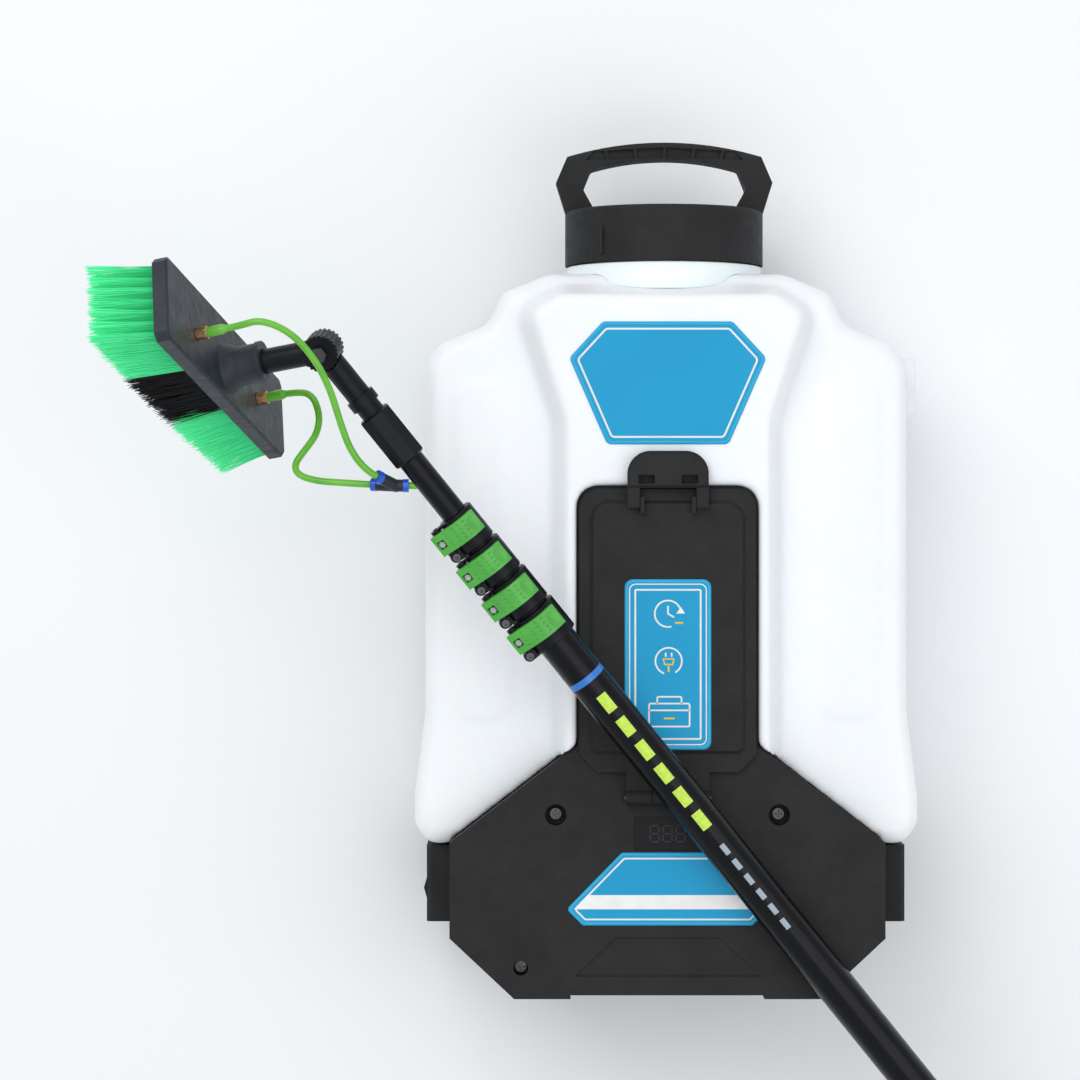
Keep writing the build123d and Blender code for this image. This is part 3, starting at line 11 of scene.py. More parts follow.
import bmesh
import bpy
from mathutils import Matrix, Vector
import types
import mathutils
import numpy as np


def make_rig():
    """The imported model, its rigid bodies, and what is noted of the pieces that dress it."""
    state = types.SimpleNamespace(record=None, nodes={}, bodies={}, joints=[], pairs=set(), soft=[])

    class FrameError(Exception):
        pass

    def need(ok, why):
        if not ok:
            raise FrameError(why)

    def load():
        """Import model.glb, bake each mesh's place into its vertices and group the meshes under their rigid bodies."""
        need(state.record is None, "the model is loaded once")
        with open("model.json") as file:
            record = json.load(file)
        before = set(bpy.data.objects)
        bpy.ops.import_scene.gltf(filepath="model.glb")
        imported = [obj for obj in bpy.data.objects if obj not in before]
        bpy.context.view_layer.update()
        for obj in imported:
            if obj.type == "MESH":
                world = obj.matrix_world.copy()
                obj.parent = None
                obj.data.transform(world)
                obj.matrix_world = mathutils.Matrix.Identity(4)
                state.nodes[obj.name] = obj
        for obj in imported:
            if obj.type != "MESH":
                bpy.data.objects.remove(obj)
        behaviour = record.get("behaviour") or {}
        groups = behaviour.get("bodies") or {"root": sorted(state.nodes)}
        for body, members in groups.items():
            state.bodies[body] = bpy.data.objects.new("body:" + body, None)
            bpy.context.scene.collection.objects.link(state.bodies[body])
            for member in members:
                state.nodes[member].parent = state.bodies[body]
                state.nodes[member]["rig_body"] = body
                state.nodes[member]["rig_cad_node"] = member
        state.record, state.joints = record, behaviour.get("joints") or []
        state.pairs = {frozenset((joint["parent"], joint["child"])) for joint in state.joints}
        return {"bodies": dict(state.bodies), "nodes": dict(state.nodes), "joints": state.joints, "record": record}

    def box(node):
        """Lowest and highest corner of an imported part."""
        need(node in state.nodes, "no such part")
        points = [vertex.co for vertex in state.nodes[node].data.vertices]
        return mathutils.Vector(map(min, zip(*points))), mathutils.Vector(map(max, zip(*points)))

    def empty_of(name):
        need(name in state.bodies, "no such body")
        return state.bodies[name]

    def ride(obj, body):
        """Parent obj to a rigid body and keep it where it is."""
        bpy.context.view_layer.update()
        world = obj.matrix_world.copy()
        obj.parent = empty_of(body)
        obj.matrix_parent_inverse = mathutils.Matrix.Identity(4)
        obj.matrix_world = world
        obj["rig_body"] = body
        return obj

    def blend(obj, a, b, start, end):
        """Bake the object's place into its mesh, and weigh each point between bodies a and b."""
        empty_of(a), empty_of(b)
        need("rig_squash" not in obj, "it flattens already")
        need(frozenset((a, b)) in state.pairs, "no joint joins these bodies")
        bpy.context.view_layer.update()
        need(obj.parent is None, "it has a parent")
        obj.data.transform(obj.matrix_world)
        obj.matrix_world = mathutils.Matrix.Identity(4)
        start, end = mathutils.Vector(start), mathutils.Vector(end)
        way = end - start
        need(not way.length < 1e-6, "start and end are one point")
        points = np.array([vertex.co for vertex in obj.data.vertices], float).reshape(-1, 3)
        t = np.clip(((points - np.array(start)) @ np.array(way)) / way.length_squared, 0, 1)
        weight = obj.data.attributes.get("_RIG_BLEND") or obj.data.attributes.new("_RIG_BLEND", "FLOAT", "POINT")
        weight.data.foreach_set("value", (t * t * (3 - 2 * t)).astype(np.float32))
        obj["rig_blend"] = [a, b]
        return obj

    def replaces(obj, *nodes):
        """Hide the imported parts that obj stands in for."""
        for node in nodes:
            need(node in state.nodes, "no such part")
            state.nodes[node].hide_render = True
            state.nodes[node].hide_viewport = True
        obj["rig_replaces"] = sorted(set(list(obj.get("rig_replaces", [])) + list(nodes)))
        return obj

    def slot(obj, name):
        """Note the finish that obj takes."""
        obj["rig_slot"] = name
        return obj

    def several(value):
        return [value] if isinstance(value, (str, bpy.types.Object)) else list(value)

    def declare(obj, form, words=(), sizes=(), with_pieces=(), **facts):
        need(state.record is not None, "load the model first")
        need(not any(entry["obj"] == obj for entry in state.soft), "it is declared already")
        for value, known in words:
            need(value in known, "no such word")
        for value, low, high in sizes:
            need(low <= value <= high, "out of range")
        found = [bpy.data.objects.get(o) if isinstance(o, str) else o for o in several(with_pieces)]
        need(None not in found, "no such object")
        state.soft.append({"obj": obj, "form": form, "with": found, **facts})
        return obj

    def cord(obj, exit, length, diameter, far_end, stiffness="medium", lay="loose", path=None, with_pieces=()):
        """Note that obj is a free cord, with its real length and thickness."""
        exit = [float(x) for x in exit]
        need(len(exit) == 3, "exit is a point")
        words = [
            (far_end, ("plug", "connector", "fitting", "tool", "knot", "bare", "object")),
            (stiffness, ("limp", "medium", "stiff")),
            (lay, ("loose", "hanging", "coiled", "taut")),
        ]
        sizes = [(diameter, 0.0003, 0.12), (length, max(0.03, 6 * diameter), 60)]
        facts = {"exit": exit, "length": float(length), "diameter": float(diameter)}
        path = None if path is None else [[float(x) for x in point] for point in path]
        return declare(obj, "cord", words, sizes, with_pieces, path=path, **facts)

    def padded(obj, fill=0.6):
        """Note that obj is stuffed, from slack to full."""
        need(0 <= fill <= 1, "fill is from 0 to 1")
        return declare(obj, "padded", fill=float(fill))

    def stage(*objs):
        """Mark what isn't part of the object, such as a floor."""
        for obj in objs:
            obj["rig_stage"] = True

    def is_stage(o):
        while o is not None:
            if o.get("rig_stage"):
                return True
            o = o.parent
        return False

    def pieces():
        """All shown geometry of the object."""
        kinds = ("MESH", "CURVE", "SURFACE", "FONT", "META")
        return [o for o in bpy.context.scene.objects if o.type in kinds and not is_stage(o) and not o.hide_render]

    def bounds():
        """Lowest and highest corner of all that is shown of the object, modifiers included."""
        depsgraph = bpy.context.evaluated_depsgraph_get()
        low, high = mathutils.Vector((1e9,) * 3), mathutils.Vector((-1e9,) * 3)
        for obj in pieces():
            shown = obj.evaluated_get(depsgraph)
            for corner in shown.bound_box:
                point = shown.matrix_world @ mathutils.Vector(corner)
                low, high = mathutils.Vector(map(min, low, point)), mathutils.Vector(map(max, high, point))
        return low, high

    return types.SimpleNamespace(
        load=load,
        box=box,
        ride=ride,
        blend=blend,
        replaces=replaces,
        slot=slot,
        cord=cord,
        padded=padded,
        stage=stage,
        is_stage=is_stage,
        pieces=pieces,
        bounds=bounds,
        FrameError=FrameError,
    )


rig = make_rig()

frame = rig.load()
nodes = frame["nodes"]
joints = {joint["name"]: joint for joint in frame["joints"]}
cad_box = [list(corner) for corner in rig.bounds()]
MM = 0.001
print("nodes:", len(nodes), "joints:", len(joints))

# %% [markdown]
# ## Camera, floor and light
# The photograph looks square at the tank's front, so the camera hangs straight above the tank, which
# lies on its back. Its field of view comes from the width of the view at the height of the tank's front.
# A large overhead light and a pale surround keep the shadows soft, as in a product photograph.


# %% A helper for new objects
def linked(name, data):
    """A new object in the scene."""
    made = bpy.data.objects.new(name, data)
    bpy.context.scene.collection.objects.link(made)
    return made


# %% Camera
CAMERA_AT = (-94.7 * MM, 41.1 * MM, 3.0)
VIEW_WIDTH = 799 * MM       # what the picture is across, at the height below
VIEW_HEIGHT = 200 * MM

camera_data = bpy.data.cameras.new("camera")
camera_data.angle = 2 * math.atan(VIEW_WIDTH / 2 / (CAMERA_AT[2] - VIEW_HEIGHT))
camera_data.clip_end = 20
camera = linked("camera", camera_data)
camera.location = CAMERA_AT
bpy.context.scene.camera = camera
print("field of view:", round(math.degrees(camera_data.angle), 2))

# %% Light and floor
bpy.context.scene.view_settings.view_transform = "Standard"


def area_light(name, place, aim, size, power):
    """A square soft light at a place, turned towards a point."""
    data = bpy.data.lights.new(name, "AREA")
    data.size = size
    data.energy = power
    light = linked(name, data)
    light.location = place
    light.rotation_euler = (Vector(aim) - Vector(place)).to_track_quat("-Z", "Y").to_euler()


area_light("key_light", (-1.2, 1.6, 2.6), (0, 0, 0.1), 2.0, 30)
area_light("fill_light", (1.8, -0.8, 2.4), (0, 0, 0.1), 2.4, 16)
area_light("top_light", (-0.1, 0.0, 3.6), (-0.1, 0, 0), 3.0, 22)

world = bpy.data.worlds.new("surround")
world.use_nodes = True
surround = world.node_tree.nodes["Background"].inputs
surround["Color"].default_value = (0.93, 0.96, 1.0, 1)
surround["Strength"].default_value = 0.62
bpy.context.scene.world = world

FLOOR_HALF = 6.0
FLOOR_DROP = 0.5 * MM       # the floor is this far under the lowest point
floor_data = bpy.data.meshes.new("floor")
signs = ((-1, -1), (1, -1), (1, 1), (-1, 1))
floor_corners = [(x * FLOOR_HALF, y * FLOOR_HALF, -FLOOR_DROP) for x, y in signs]
floor_data.from_pydata(floor_corners, [], [(0, 1, 2, 3)])
floor = linked("floor", floor_data)
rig.stage(floor)
print("floor side in metres:", 2 * FLOOR_HALF)

# %% [markdown]
# ## Finishes
# Every finish is one Principled shader with a few procedural nodes. The patterns read object
# coordinates, in metres, so a noise scale of 900 gives grains of about a millimetre. Small helpers add
# the three things that make plastic look moulded: a fine grain, uneven gloss and faint colour drift.
# Each makes its own noise from a scale and a detail.


# %% Helpers for the finishes
PRINCIPLED = "Principled BSDF"
NOISE_SPAN = (0.3, 0.7)             # a noise stays mostly between these


def add_node(tree, kind, wires=None, **settings):
    """A node whose inputs are wired from other nodes' outputs, or set to plain values."""
    node = tree.nodes.new(kind)
    for setting, value in settings.items():
        setattr(node, setting, value)
    for socket, value in (wires or {}).items():
        if isinstance(value, bpy.types.NodeSocket):
            tree.links.new(value, node.inputs[socket])
        else:
            node.inputs[socket].default_value = value
    return node


def shader(name, colour, roughness, **sockets):
    """A material with a Principled shader whose plain values sit on its own sockets."""
    material = bpy.data.materials.new(name)
    material.use_nodes = True
    inputs = material.node_tree.nodes[PRINCIPLED].inputs
    inputs["Base Color"].default_value = (*colour, 1)
    inputs["Roughness"].default_value = roughness
    for socket, value in sockets.items():
        inputs[socket.replace("_", " ")].default_value = value
    return material


def own_place(material, stretch=(1, 1, 1), turn=(0, 0, 0)):
    """Object coordinates, turned, and stretched to make a pattern finer along an axis."""
    source = add_node(material.node_tree, "ShaderNodeTexCoord").outputs["Object"]
    wires = {"Vector": source, "Rotation": turn, "Scale": stretch}
    return add_node(material.node_tree, "ShaderNodeMapping", wires).outputs["Vector"]


def noise(material, scale, detail, stretch=(1, 1, 1), turn=(0, 0, 0)):
    """The factor of a noise on object coordinates."""
    wires = {"Vector": own_place(material, stretch, turn), "Scale": scale, "Detail": detail}
    return add_node(material.node_tree, "ShaderNodeTexNoise", wires).outputs["Fac"]


def add_bump(material, factor, depth, strength):
    """Bump from a factor; depth is its height in metres. Further calls stack."""
    tree = material.node_tree
    normal = tree.nodes[PRINCIPLED].inputs["Normal"]
    wires = {"Height": factor, "Distance": depth, "Strength": strength}
    if normal.links:
        wires["Normal"] = normal.links[0].from_socket
    tree.links.new(add_node(tree, "ShaderNodeBump", wires).outputs["Normal"], normal)


def grain(material, scale, detail, depth, strength, *placing):
    """Fine bumps from a noise; placing is its stretch and turn."""
    add_bump(material, noise(material, scale, detail, *placing), depth, strength)


def spread(material, scale, detail, low, high, *placing):
    """A roughness that wanders between low and high with a noise."""
    tree = material.node_tree
    start, end = NOISE_SPAN
    span = add_node(tree, "ShaderNodeMapRange", {
        "Value": noise(material, scale, detail, *placing),
        "From Min": start, "From Max": end, "To Min": low, "To Max": high})
    tree.links.new(span.outputs["Result"], tree.nodes[PRINCIPLED].inputs["Roughness"])


def tint(material, scale, detail, dark, light):
    """A base colour that runs from dark to light with a noise."""
    tree = material.node_tree
    ramp = add_node(tree, "ShaderNodeValToRGB", {"Fac": noise(material, scale, detail)})
    for element, place, colour in zip(ramp.color_ramp.elements, NOISE_SPAN, (dark, light)):
        element.position = place
        element.color = (*colour, 1)
    tree.links.new(ramp.outputs["Color"], tree.nodes[PRINCIPLED].inputs["Base Color"])


# %% [markdown]
# The tank is white polyethylene, blown into a mould: it lets a little light in, so it takes some
# subsurface scattering, and its skin is faintly uneven. The base is injection moulded with a spark
# eroded grain. The pole's fittings are smoother and shine more.

# %% Plastics
tank_white = shader("tank_white", (0.90, 0.925, 0.95), 0.42, Subsurface_Weight=0.25, Subsurface_Scale=0.012,
                    Coat_Weight=0.15, Coat_Roughness=0.3)
tint(tank_white, 9, 2, (0.885, 0.91, 0.94), (0.93, 0.945, 0.96))
grain(tank_white, 60, 3, 0.0004, 0.35)
grain(tank_white, 700, 2, 0.00006, 0.3)

base_black = shader("base_black", (0.019, 0.019, 0.020), 0.62, Specular_IOR_Level=0.2)
tint(base_black, 40, 3, (0.016, 0.016, 0.0165), (0.022, 0.022, 0.0225))
spread(base_black, 160, 2, 0.55, 0.7)
grain(base_black, 1500, 2, 0.00012, 0.5)

satin_black = shader("satin_black", (0.004, 0.005, 0.008), 0.34, Specular_IOR_Level=0.22)
spread(satin_black, 120, 3, 0.28, 0.42)
grain(satin_black, 900, 2, 0.00005, 0.35)

FINE_ALONG_Z = (1, 1, 3)            # gives the gloss of the board a slight streak
dark_grey = shader("dark_grey", (0.022, 0.028, 0.036), 0.45, Specular_IOR_Level=0.32)
tint(dark_grey, 55, 4, (0.018, 0.024, 0.032), (0.030, 0.037, 0.046))
spread(dark_grey, 90, 4, 0.36, 0.56, FINE_ALONG_Z)
grain(dark_grey, 1100, 2, 0.00008, 0.4)

lever_green = shader("lever_green", (0.075, 0.40, 0.05), 0.36, Coat_Weight=0.25, Coat_Roughness=0.15)
tint(lever_green, 70, 2, (0.060, 0.36, 0.045), (0.085, 0.44, 0.055))
grain(lever_green, 1000, 2, 0.00005, 0.3)

collet_blue = shader("collet_blue", (0.015, 0.09, 0.62), 0.3, Coat_Weight=0.3)
grain(collet_blue, 900, 2, 0.00004, 0.3)

# %% [markdown]
# The tubes are black anodised aluminium under a thin clear film. Drawing leaves faint lines along
# them, so their noise is stretched along the pole: its coordinates are turned by the Mapping node
# until one axis runs down the pole.

# %% Metals
POLE_DIRECTION = Vector(joints["slide_2"]["axis"]).normalized()

tube_black = shader("tube_black", (0.0022, 0.0024, 0.0040), 0.26, Specular_IOR_Level=0.2, Coat_Weight=0.08,
                    Coat_Roughness=0.1)
DRAWN_OUT = (1, 1, 0.012)           # stretches the noise along the pole
upright = POLE_DIRECTION.rotation_difference(Vector((0, 0, 1))).to_euler()
spread(tube_black, 500, 2, 0.2, 0.34, DRAWN_OUT, upright)
grain(tube_black, 500, 2, 0.00002, 0.3, DRAWN_OUT, upright)

steel = shader("steel", (0.62, 0.63, 0.64), 0.26, Metallic=1.0)
spread(steel, 600, 3, 0.18, 0.38)
dark_steel = shader("dark_steel", (0.11, 0.11, 0.115), 0.4, Metallic=1.0)
spread(dark_steel, 500, 3, 0.32, 0.5)
brass = shader("brass", (0.72, 0.42, 0.20), 0.28, Metallic=1.0)
tint(brass, 260, 3, (0.62, 0.36, 0.17), (0.76, 0.47, 0.25))
spread(brass, 400, 3, 0.2, 0.42)

# %% Rubber and hose
rubber = shader("rubber", (0.012, 0.012, 0.013), 0.7)
grain(rubber, 700, 3, 0.0001, 0.5)

hose_green = shader("hose_green", (0.13, 0.48, 0.025), 0.3, Coat_Weight=0.2, Subsurface_Weight=0.2,
                    Subsurface_Scale=0.003)
tint(hose_green, 45, 2, (0.10, 0.42, 0.020), (0.17, 0.55, 0.035))
grain(hose_green, 500, 2, 0.00005, 0.3)

# %% [markdown]
# The labels and the marks are printed film, so their colours hardly drift, and only the large blue
# field takes a grain, a very shallow one. Two blues keep a label's rim apart from its field.

# %% Film and marks
label_blue = shader("label_blue", (0.003, 0.325, 0.595), 0.34, Specular_IOR_Level=0.25, Coat_Weight=0.05)
tint(label_blue, 14, 1, (0.002, 0.315, 0.58), (0.004, 0.335, 0.61))
grain(label_blue, 300, 2, 0.00002, 0.4)
label_light = shader("label_light", (0.03, 0.41, 0.69), 0.34, Specular_IOR_Level=0.25)
tint(label_light, 30, 2, (0.025, 0.40, 0.675), (0.04, 0.43, 0.71))
label_white = shader("label_white", (0.86, 0.86, 0.84), 0.38, Coat_Weight=0.2)
tint(label_white, 80, 2, (0.82, 0.82, 0.80), (0.90, 0.90, 0.88))
label_yellow = shader("label_yellow", (0.85, 0.62, 0.02), 0.4)
mark_lime = shader("mark_lime", (0.55, 0.78, 0.06), 0.4, Coat_Weight=0.3)
tint(mark_lime, 300, 2, (0.48, 0.70, 0.05), (0.60, 0.85, 0.08))
mark_grey = shader("mark_grey", (0.33, 0.40, 0.47), 0.4, Coat_Weight=0.3)
mark_blue = shader("mark_blue", (0.02, 0.18, 0.60), 0.35, Coat_Weight=0.3)

# %% Display, battery and floor
display_glass = shader("display_glass", (0.008, 0.008, 0.009), 0.3, Specular_IOR_Level=0.15)
ghost_grey = shader("ghost_grey", (0.034, 0.034, 0.036), 0.45, Specular_IOR_Level=0.2)
battery_case = shader("battery_case", (0.04, 0.04, 0.042), 0.55)
tint(battery_case, 60, 3, (0.034, 0.034, 0.036), (0.048, 0.048, 0.05))
grain(battery_case, 900, 2, 0.0001, 0.5)

floor_pale = shader("floor_pale", (0.93, 0.935, 0.94), 0.8, Specular_IOR_Level=0.1)
tint(floor_pale, 2, 2, (0.92, 0.925, 0.93), (0.94, 0.945, 0.95))
floor_data.materials.append(floor_pale)

# %% [markdown]
# Webbing is woven, so its bump comes from two waves that cross. A filament runs from a dark root, which is
# painted shade deep in the tuft, to a lighter tip. Both come from attributes that the brush's tree keeps on each
# filament.

# %% Webbing, thread and filaments
webbing = shader("webbing", (0.03, 0.03, 0.032), 0.85, Sheen_Weight=0.3)
for weave_turn in (0, math.pi / 2):
    place = own_place(webbing, turn=(0, 0, weave_turn))
    threads = add_node(webbing.node_tree, "ShaderNodeTexWave",
                       {"Vector": place, "Scale": 260, "Distortion": 0.6})
    add_bump(webbing, threads.outputs["Fac"], 0.0003, 0.5)
tint(webbing, 350, 3, (0.022, 0.022, 0.024), (0.042, 0.042, 0.045))
thread_grey = shader("thread_grey", (0.22, 0.22, 0.22), 0.8)
tint(thread_grey, 900, 2, (0.17, 0.17, 0.17), (0.27, 0.27, 0.27))


def filament_finish(name, root, tip, dark):
    """A finish that runs from a dark root, painted shade deep in the tuft, to the tip of each filament, with some
    filaments darker.
    """
    material = shader(name, tip, 0.42, Specular_IOR_Level=0.3)
    tree = material.node_tree
    along = add_node(tree, "ShaderNodeAttribute", attribute_name="along").outputs["Fac"]
    shade = add_node(tree, "ShaderNodeAttribute", attribute_name="shade").outputs["Fac"]
    # The ramp's dark root colour is painted shade deep in the tuft.
    ramp = add_node(tree, "ShaderNodeValToRGB", {"Fac": along})
    for element, colour in zip(ramp.color_ramp.elements, (root, tip)):
        element.color = (*colour, 1)
    mix = add_node(tree, "ShaderNodeMix", {0: shade, 6: ramp.outputs["Color"], 7: (*dark, 1)},
                   data_type="RGBA")
    tree.links.new(mix.outputs[2], tree.nodes[PRINCIPLED].inputs["Base Color"])
    return material


# Each root colour, darker than its tip, is painted shade deep in the tufts.
filament_green = filament_finish("filament_green", (0.04, 0.60, 0.24), (0.16, 1.0, 0.52), (0.03, 0.52, 0.21))
filament_black = filament_finish("filament_black", (0.002, 0.002, 0.003), (0.005, 0.005, 0.007),
                                 (0.002, 0.002, 0.002))
# A painted glow: emission stands in for the light that passes through the thin green filaments and leaves them all
# round, so they look lit from inside.
painted_glow = filament_green.node_tree.nodes[PRINCIPLED].inputs
painted_glow["Emission Color"].default_value = (0.10, 1.0, 0.42, 1)
painted_glow["Emission Strength"].default_value = 0.12
print("finishes:", len(bpy.data.materials))

# %% [markdown]
# ## Plain meshes from made shapes
# Pieces are made in mesh code and then fixed as plain meshes. A temporary object carries the
# modifiers; the evaluated result becomes the piece, so nothing live is left on it. Faces that meet at
# more than an angle keep a sharp edge, and the rest shade smoothly.


# %% Mesh helpers
SHARP_ANGLE = math.radians(32)
FLAT_ANGLE = math.radians(0.6)      # faces that meet at less than this are one flat area


def frame_of(*columns):
    """A matrix from its X, Y and Z axes and its origin."""
    matrix = Matrix.Identity(4)
    for column, vector in enumerate(columns):
        for row in range(3):
            matrix[row][column] = vector[row]
    return matrix


def mark_sharp(mesh, angle=SHARP_ANGLE):
    """Smooth faces, with the edges sharper than the angle left sharp."""
    for face in mesh.faces:
        face.smooth = True
    for edge in mesh.edges:
        edge.smooth = len(edge.link_faces) == 2 and edge.calc_face_angle(0) < angle


def piece_from(mesh, name, material, angle=SHARP_ANGLE):
    """A finished object from a bmesh, which is used up."""
    mark_sharp(mesh, angle)
    data = bpy.data.meshes.new(name)
    mesh.to_mesh(data)
    mesh.free()
    data.materials.append(material)
    return linked(name, data)


def round_edges(piece, width, angle):
    """A Bevel modifier on the edges that are sharper than the angle."""
    bevel = piece.modifiers.new("edge", "BEVEL")
    bevel.width = width
    bevel.segments = 2
    bevel.limit_method = "ANGLE"
    bevel.angle_limit = angle


def cut_with(piece, cutter):
    """A Boolean modifier that takes the cutter's shape out of a piece."""
    cut = piece.modifiers.new("cut", "BOOLEAN")
    cut.operation = "DIFFERENCE"
    cut.solver = "EXACT"
    cut.object = cutter


def evaluated(source):
    """The mesh that an object's modifiers, or a curve's settings, make."""
    graph = bpy.context.evaluated_depsgraph_get()
    return bpy.data.meshes.new_from_object(source.evaluated_get(graph))


def baked(piece):
    """Puts the result of a piece's modifiers into its mesh and takes the modifiers off."""
    result = evaluated(piece)
    name = piece.data.name
    piece.modifiers.clear()
    piece.data.name = name + "_before"
    piece.data = result
    result.name = name


def merged_copy(node):
    """The triangles of a CAD node, with its doubled points merged."""
    mesh = bmesh.new()
    mesh.from_mesh(nodes[node].data)
    bmesh.ops.remove_doubles(mesh, verts=mesh.verts, dist=0.002 * MM)
    bmesh.ops.dissolve_degenerate(mesh, edges=mesh.edges, dist=0.001 * MM)
    return mesh


# %% [markdown]
# Real moulded parts have no knife edges. Each hard part is a merged copy of its CAD piece with its
# flat areas dissolved to single faces and its edges rounded by a Bevel modifier, and then weighted
# normals keep the large faces flat in the shading.


# %% Softened copies of hard parts
def softened(name, node, body, material, width, slot):
    """A copy of a CAD node with rounded edges, standing for it; the width is in mm."""
    mesh = merged_copy(node)
    bmesh.ops.dissolve_limit(mesh, angle_limit=FLAT_ANGLE, verts=mesh.verts, edges=mesh.edges)
    piece = piece_from(mesh, name, material)
    round_edges(piece, width * MM, SHARP_ANGLE)
    normals = piece.modifiers.new("normals", "WEIGHTED_NORMAL")
    normals.keep_sharp = True
    baked(piece)
    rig.ride(piece, body)
    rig.replaces(piece, node)
    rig.slot(piece, slot)


def dress(material, *node_names):
    """A finish for CAD nodes whose shape is kept."""
    for name in node_names:
        node = nodes[name]
        if not node.data.materials:
            node.data.materials.append(material)
        for index in range(len(node.material_slots)):
            node.material_slots[index].material = material


# %% [markdown]
# ## The blow-moulded tank
# The tank is one hollow skin of polyethylene. Its outside is taken from the CAD shell: the faces
# inside the filler neck and the pump spigot are cut away, which parts the cavity from the outside,
# and the larger part is closed again. A voxel remesh and a little smoothing give it the soft edges
# that blow moulding leaves, and then low pads are raised on its two lobes.

# %% Tank
NECK_AXIS_Z = 105 * MM
NECK_BORE = 60 * MM
STRAINER_END_Y = 200 * MM
NECK_TOP_Y = 280 * MM
SPIGOT_AT = (34 * MM, 40 * MM)
SPIGOT_BORE = 3.5 * MM
TANK_VOXEL = 2.9 * MM
TANK_SMOOTHING = 7                  # rounds of smoothing after the remesh


def connected_parts(mesh):
    """The faces of a bmesh in connected groups."""
    unseen = set(mesh.faces)
    groups = []
    while unseen:
        frontier = [unseen.pop()]
        group = []
        while frontier:
            face = frontier.pop()
            group.append(face)
            for edge in face.edges:
                for other in edge.link_faces:
                    if other in unseen:
                        unseen.remove(other)
                        frontier.append(other)
        groups.append(group)
    return groups


def tank_outside():
    """The outer skin of the tank, closed where its bores were."""
    mesh = merged_copy("tank_shell")
    bores = []
    for face in mesh.faces:
        middle = face.calc_center_median()
        neck = math.hypot(middle.x, middle.z - NECK_AXIS_Z) < NECK_BORE + 0.3 * MM
        spigot = math.hypot(middle.x - SPIGOT_AT[0], middle.z - SPIGOT_AT[1]) < SPIGOT_BORE + 0.2 * MM
        flat = abs(face.normal.y) > 0.9
        if (neck and STRAINER_END_Y < middle.y < NECK_TOP_Y and not flat) or (spigot and not flat):
            bores.append(face)
    bmesh.ops.delete(mesh, geom=bores, context="FACES")
    groups = sorted(connected_parts(mesh), key=lambda group: sum(face.calc_area() for face in group))
    print("tank: bore faces", len(bores), "parts", [len(group) for group in groups])
    for group in groups[:-1]:
        bmesh.ops.delete(mesh, geom=group, context="FACES")
    open_edges = [edge for edge in mesh.edges if len(edge.link_faces) == 1]
    bmesh.ops.holes_fill(mesh, edges=open_edges, sides=0)
    bmesh.ops.triangulate(mesh, faces=mesh.faces)
    return mesh


def smooth_step(value, low, high):
    """From 0 at low to 1 at high, level at both ends."""
    share = min(max((value - low) / (high - low), 0), 1)
    return share * share * (3 - 2 * share)


PAD_ACROSS = (113 * MM, 162 * MM)    # the raised pads on the lobes
PAD_ALONG = (-96 * MM, 164 * MM)
PAD_CORNER = 18 * MM
PAD_RISE = 1.3 * MM
PAD_EDGE = 7 * MM                   # how far its edge takes to rise
LOBE_FRONT = 166 * MM


def pad_height(x, y):
    """How far a pad stands out at a place on the lobes' front: full inside a rounded rectangle."""
    middle = ((PAD_ACROSS[0] + PAD_ACROSS[1]) / 2, (PAD_ALONG[0] + PAD_ALONG[1]) / 2)
    half = ((PAD_ACROSS[1] - PAD_ACROSS[0]) / 2, (PAD_ALONG[1] - PAD_ALONG[0]) / 2)
    out_x = max(abs(abs(x) - middle[0]) - half[0] + PAD_CORNER, 0)
    out_y = max(abs(y - middle[1]) - half[1] + PAD_CORNER, 0)
    inside = PAD_CORNER - math.hypot(out_x, out_y)
    return PAD_RISE * smooth_step(inside, 0, PAD_EDGE)


def neck_pocket():
    """The space that the strainer hangs in."""
    depth = NECK_TOP_Y + 20 * MM - STRAINER_END_Y
    middle = Matrix.Translation((0, STRAINER_END_Y + depth / 2, NECK_AXIS_Z))
    lying = Matrix.Rotation(math.pi / 2, 4, "X")
    mesh = bmesh.new()
    bmesh.ops.create_cone(mesh, cap_ends=True, segments=96, radius1=NECK_BORE, radius2=NECK_BORE,
                          depth=depth, matrix=middle @ lying)
    return mesh


tank = piece_from(tank_outside(), "tank_skin", tank_white)
remesh = tank.modifiers.new("skin", "REMESH")
remesh.mode = "VOXEL"
remesh.voxel_size = TANK_VOXEL
smooth = tank.modifiers.new("soften", "SMOOTH")
smooth.factor = 0.5
smooth.iterations = TANK_SMOOTHING
baked(tank)
for vertex in tank.data.vertices:
    x, y, z = vertex.co
    if LOBE_FRONT - 3 * MM < z < LOBE_FRONT + 4 * MM and vertex.normal.z > 0.8:
        vertex.co.z += pad_height(x, y)
cutter = piece_from(neck_pocket(), "pocket_cutter", tank_white)
cut_with(tank, cutter)
baked(tank)
bpy.data.objects.remove(cutter)
shaped = bmesh.new()
shaped.from_mesh(tank.data)
mark_sharp(shaped, math.radians(50))
shaped.to_mesh(tank.data)
shaped.free()
if not tank.data.materials:
    tank.data.materials.append(tank_white)
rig.ride(tank, "tank")
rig.replaces(tank, "tank_shell")
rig.slot(tank, "tank_white")
print("tank faces:", len(tank.data.polygons))

# %% [markdown]
# ## Hard parts of the tank
# The base, door, latch, cap and harness frame keep their CAD shapes with rounded edges. Pieces that stay
# hidden, such as the pump, only get their finish.

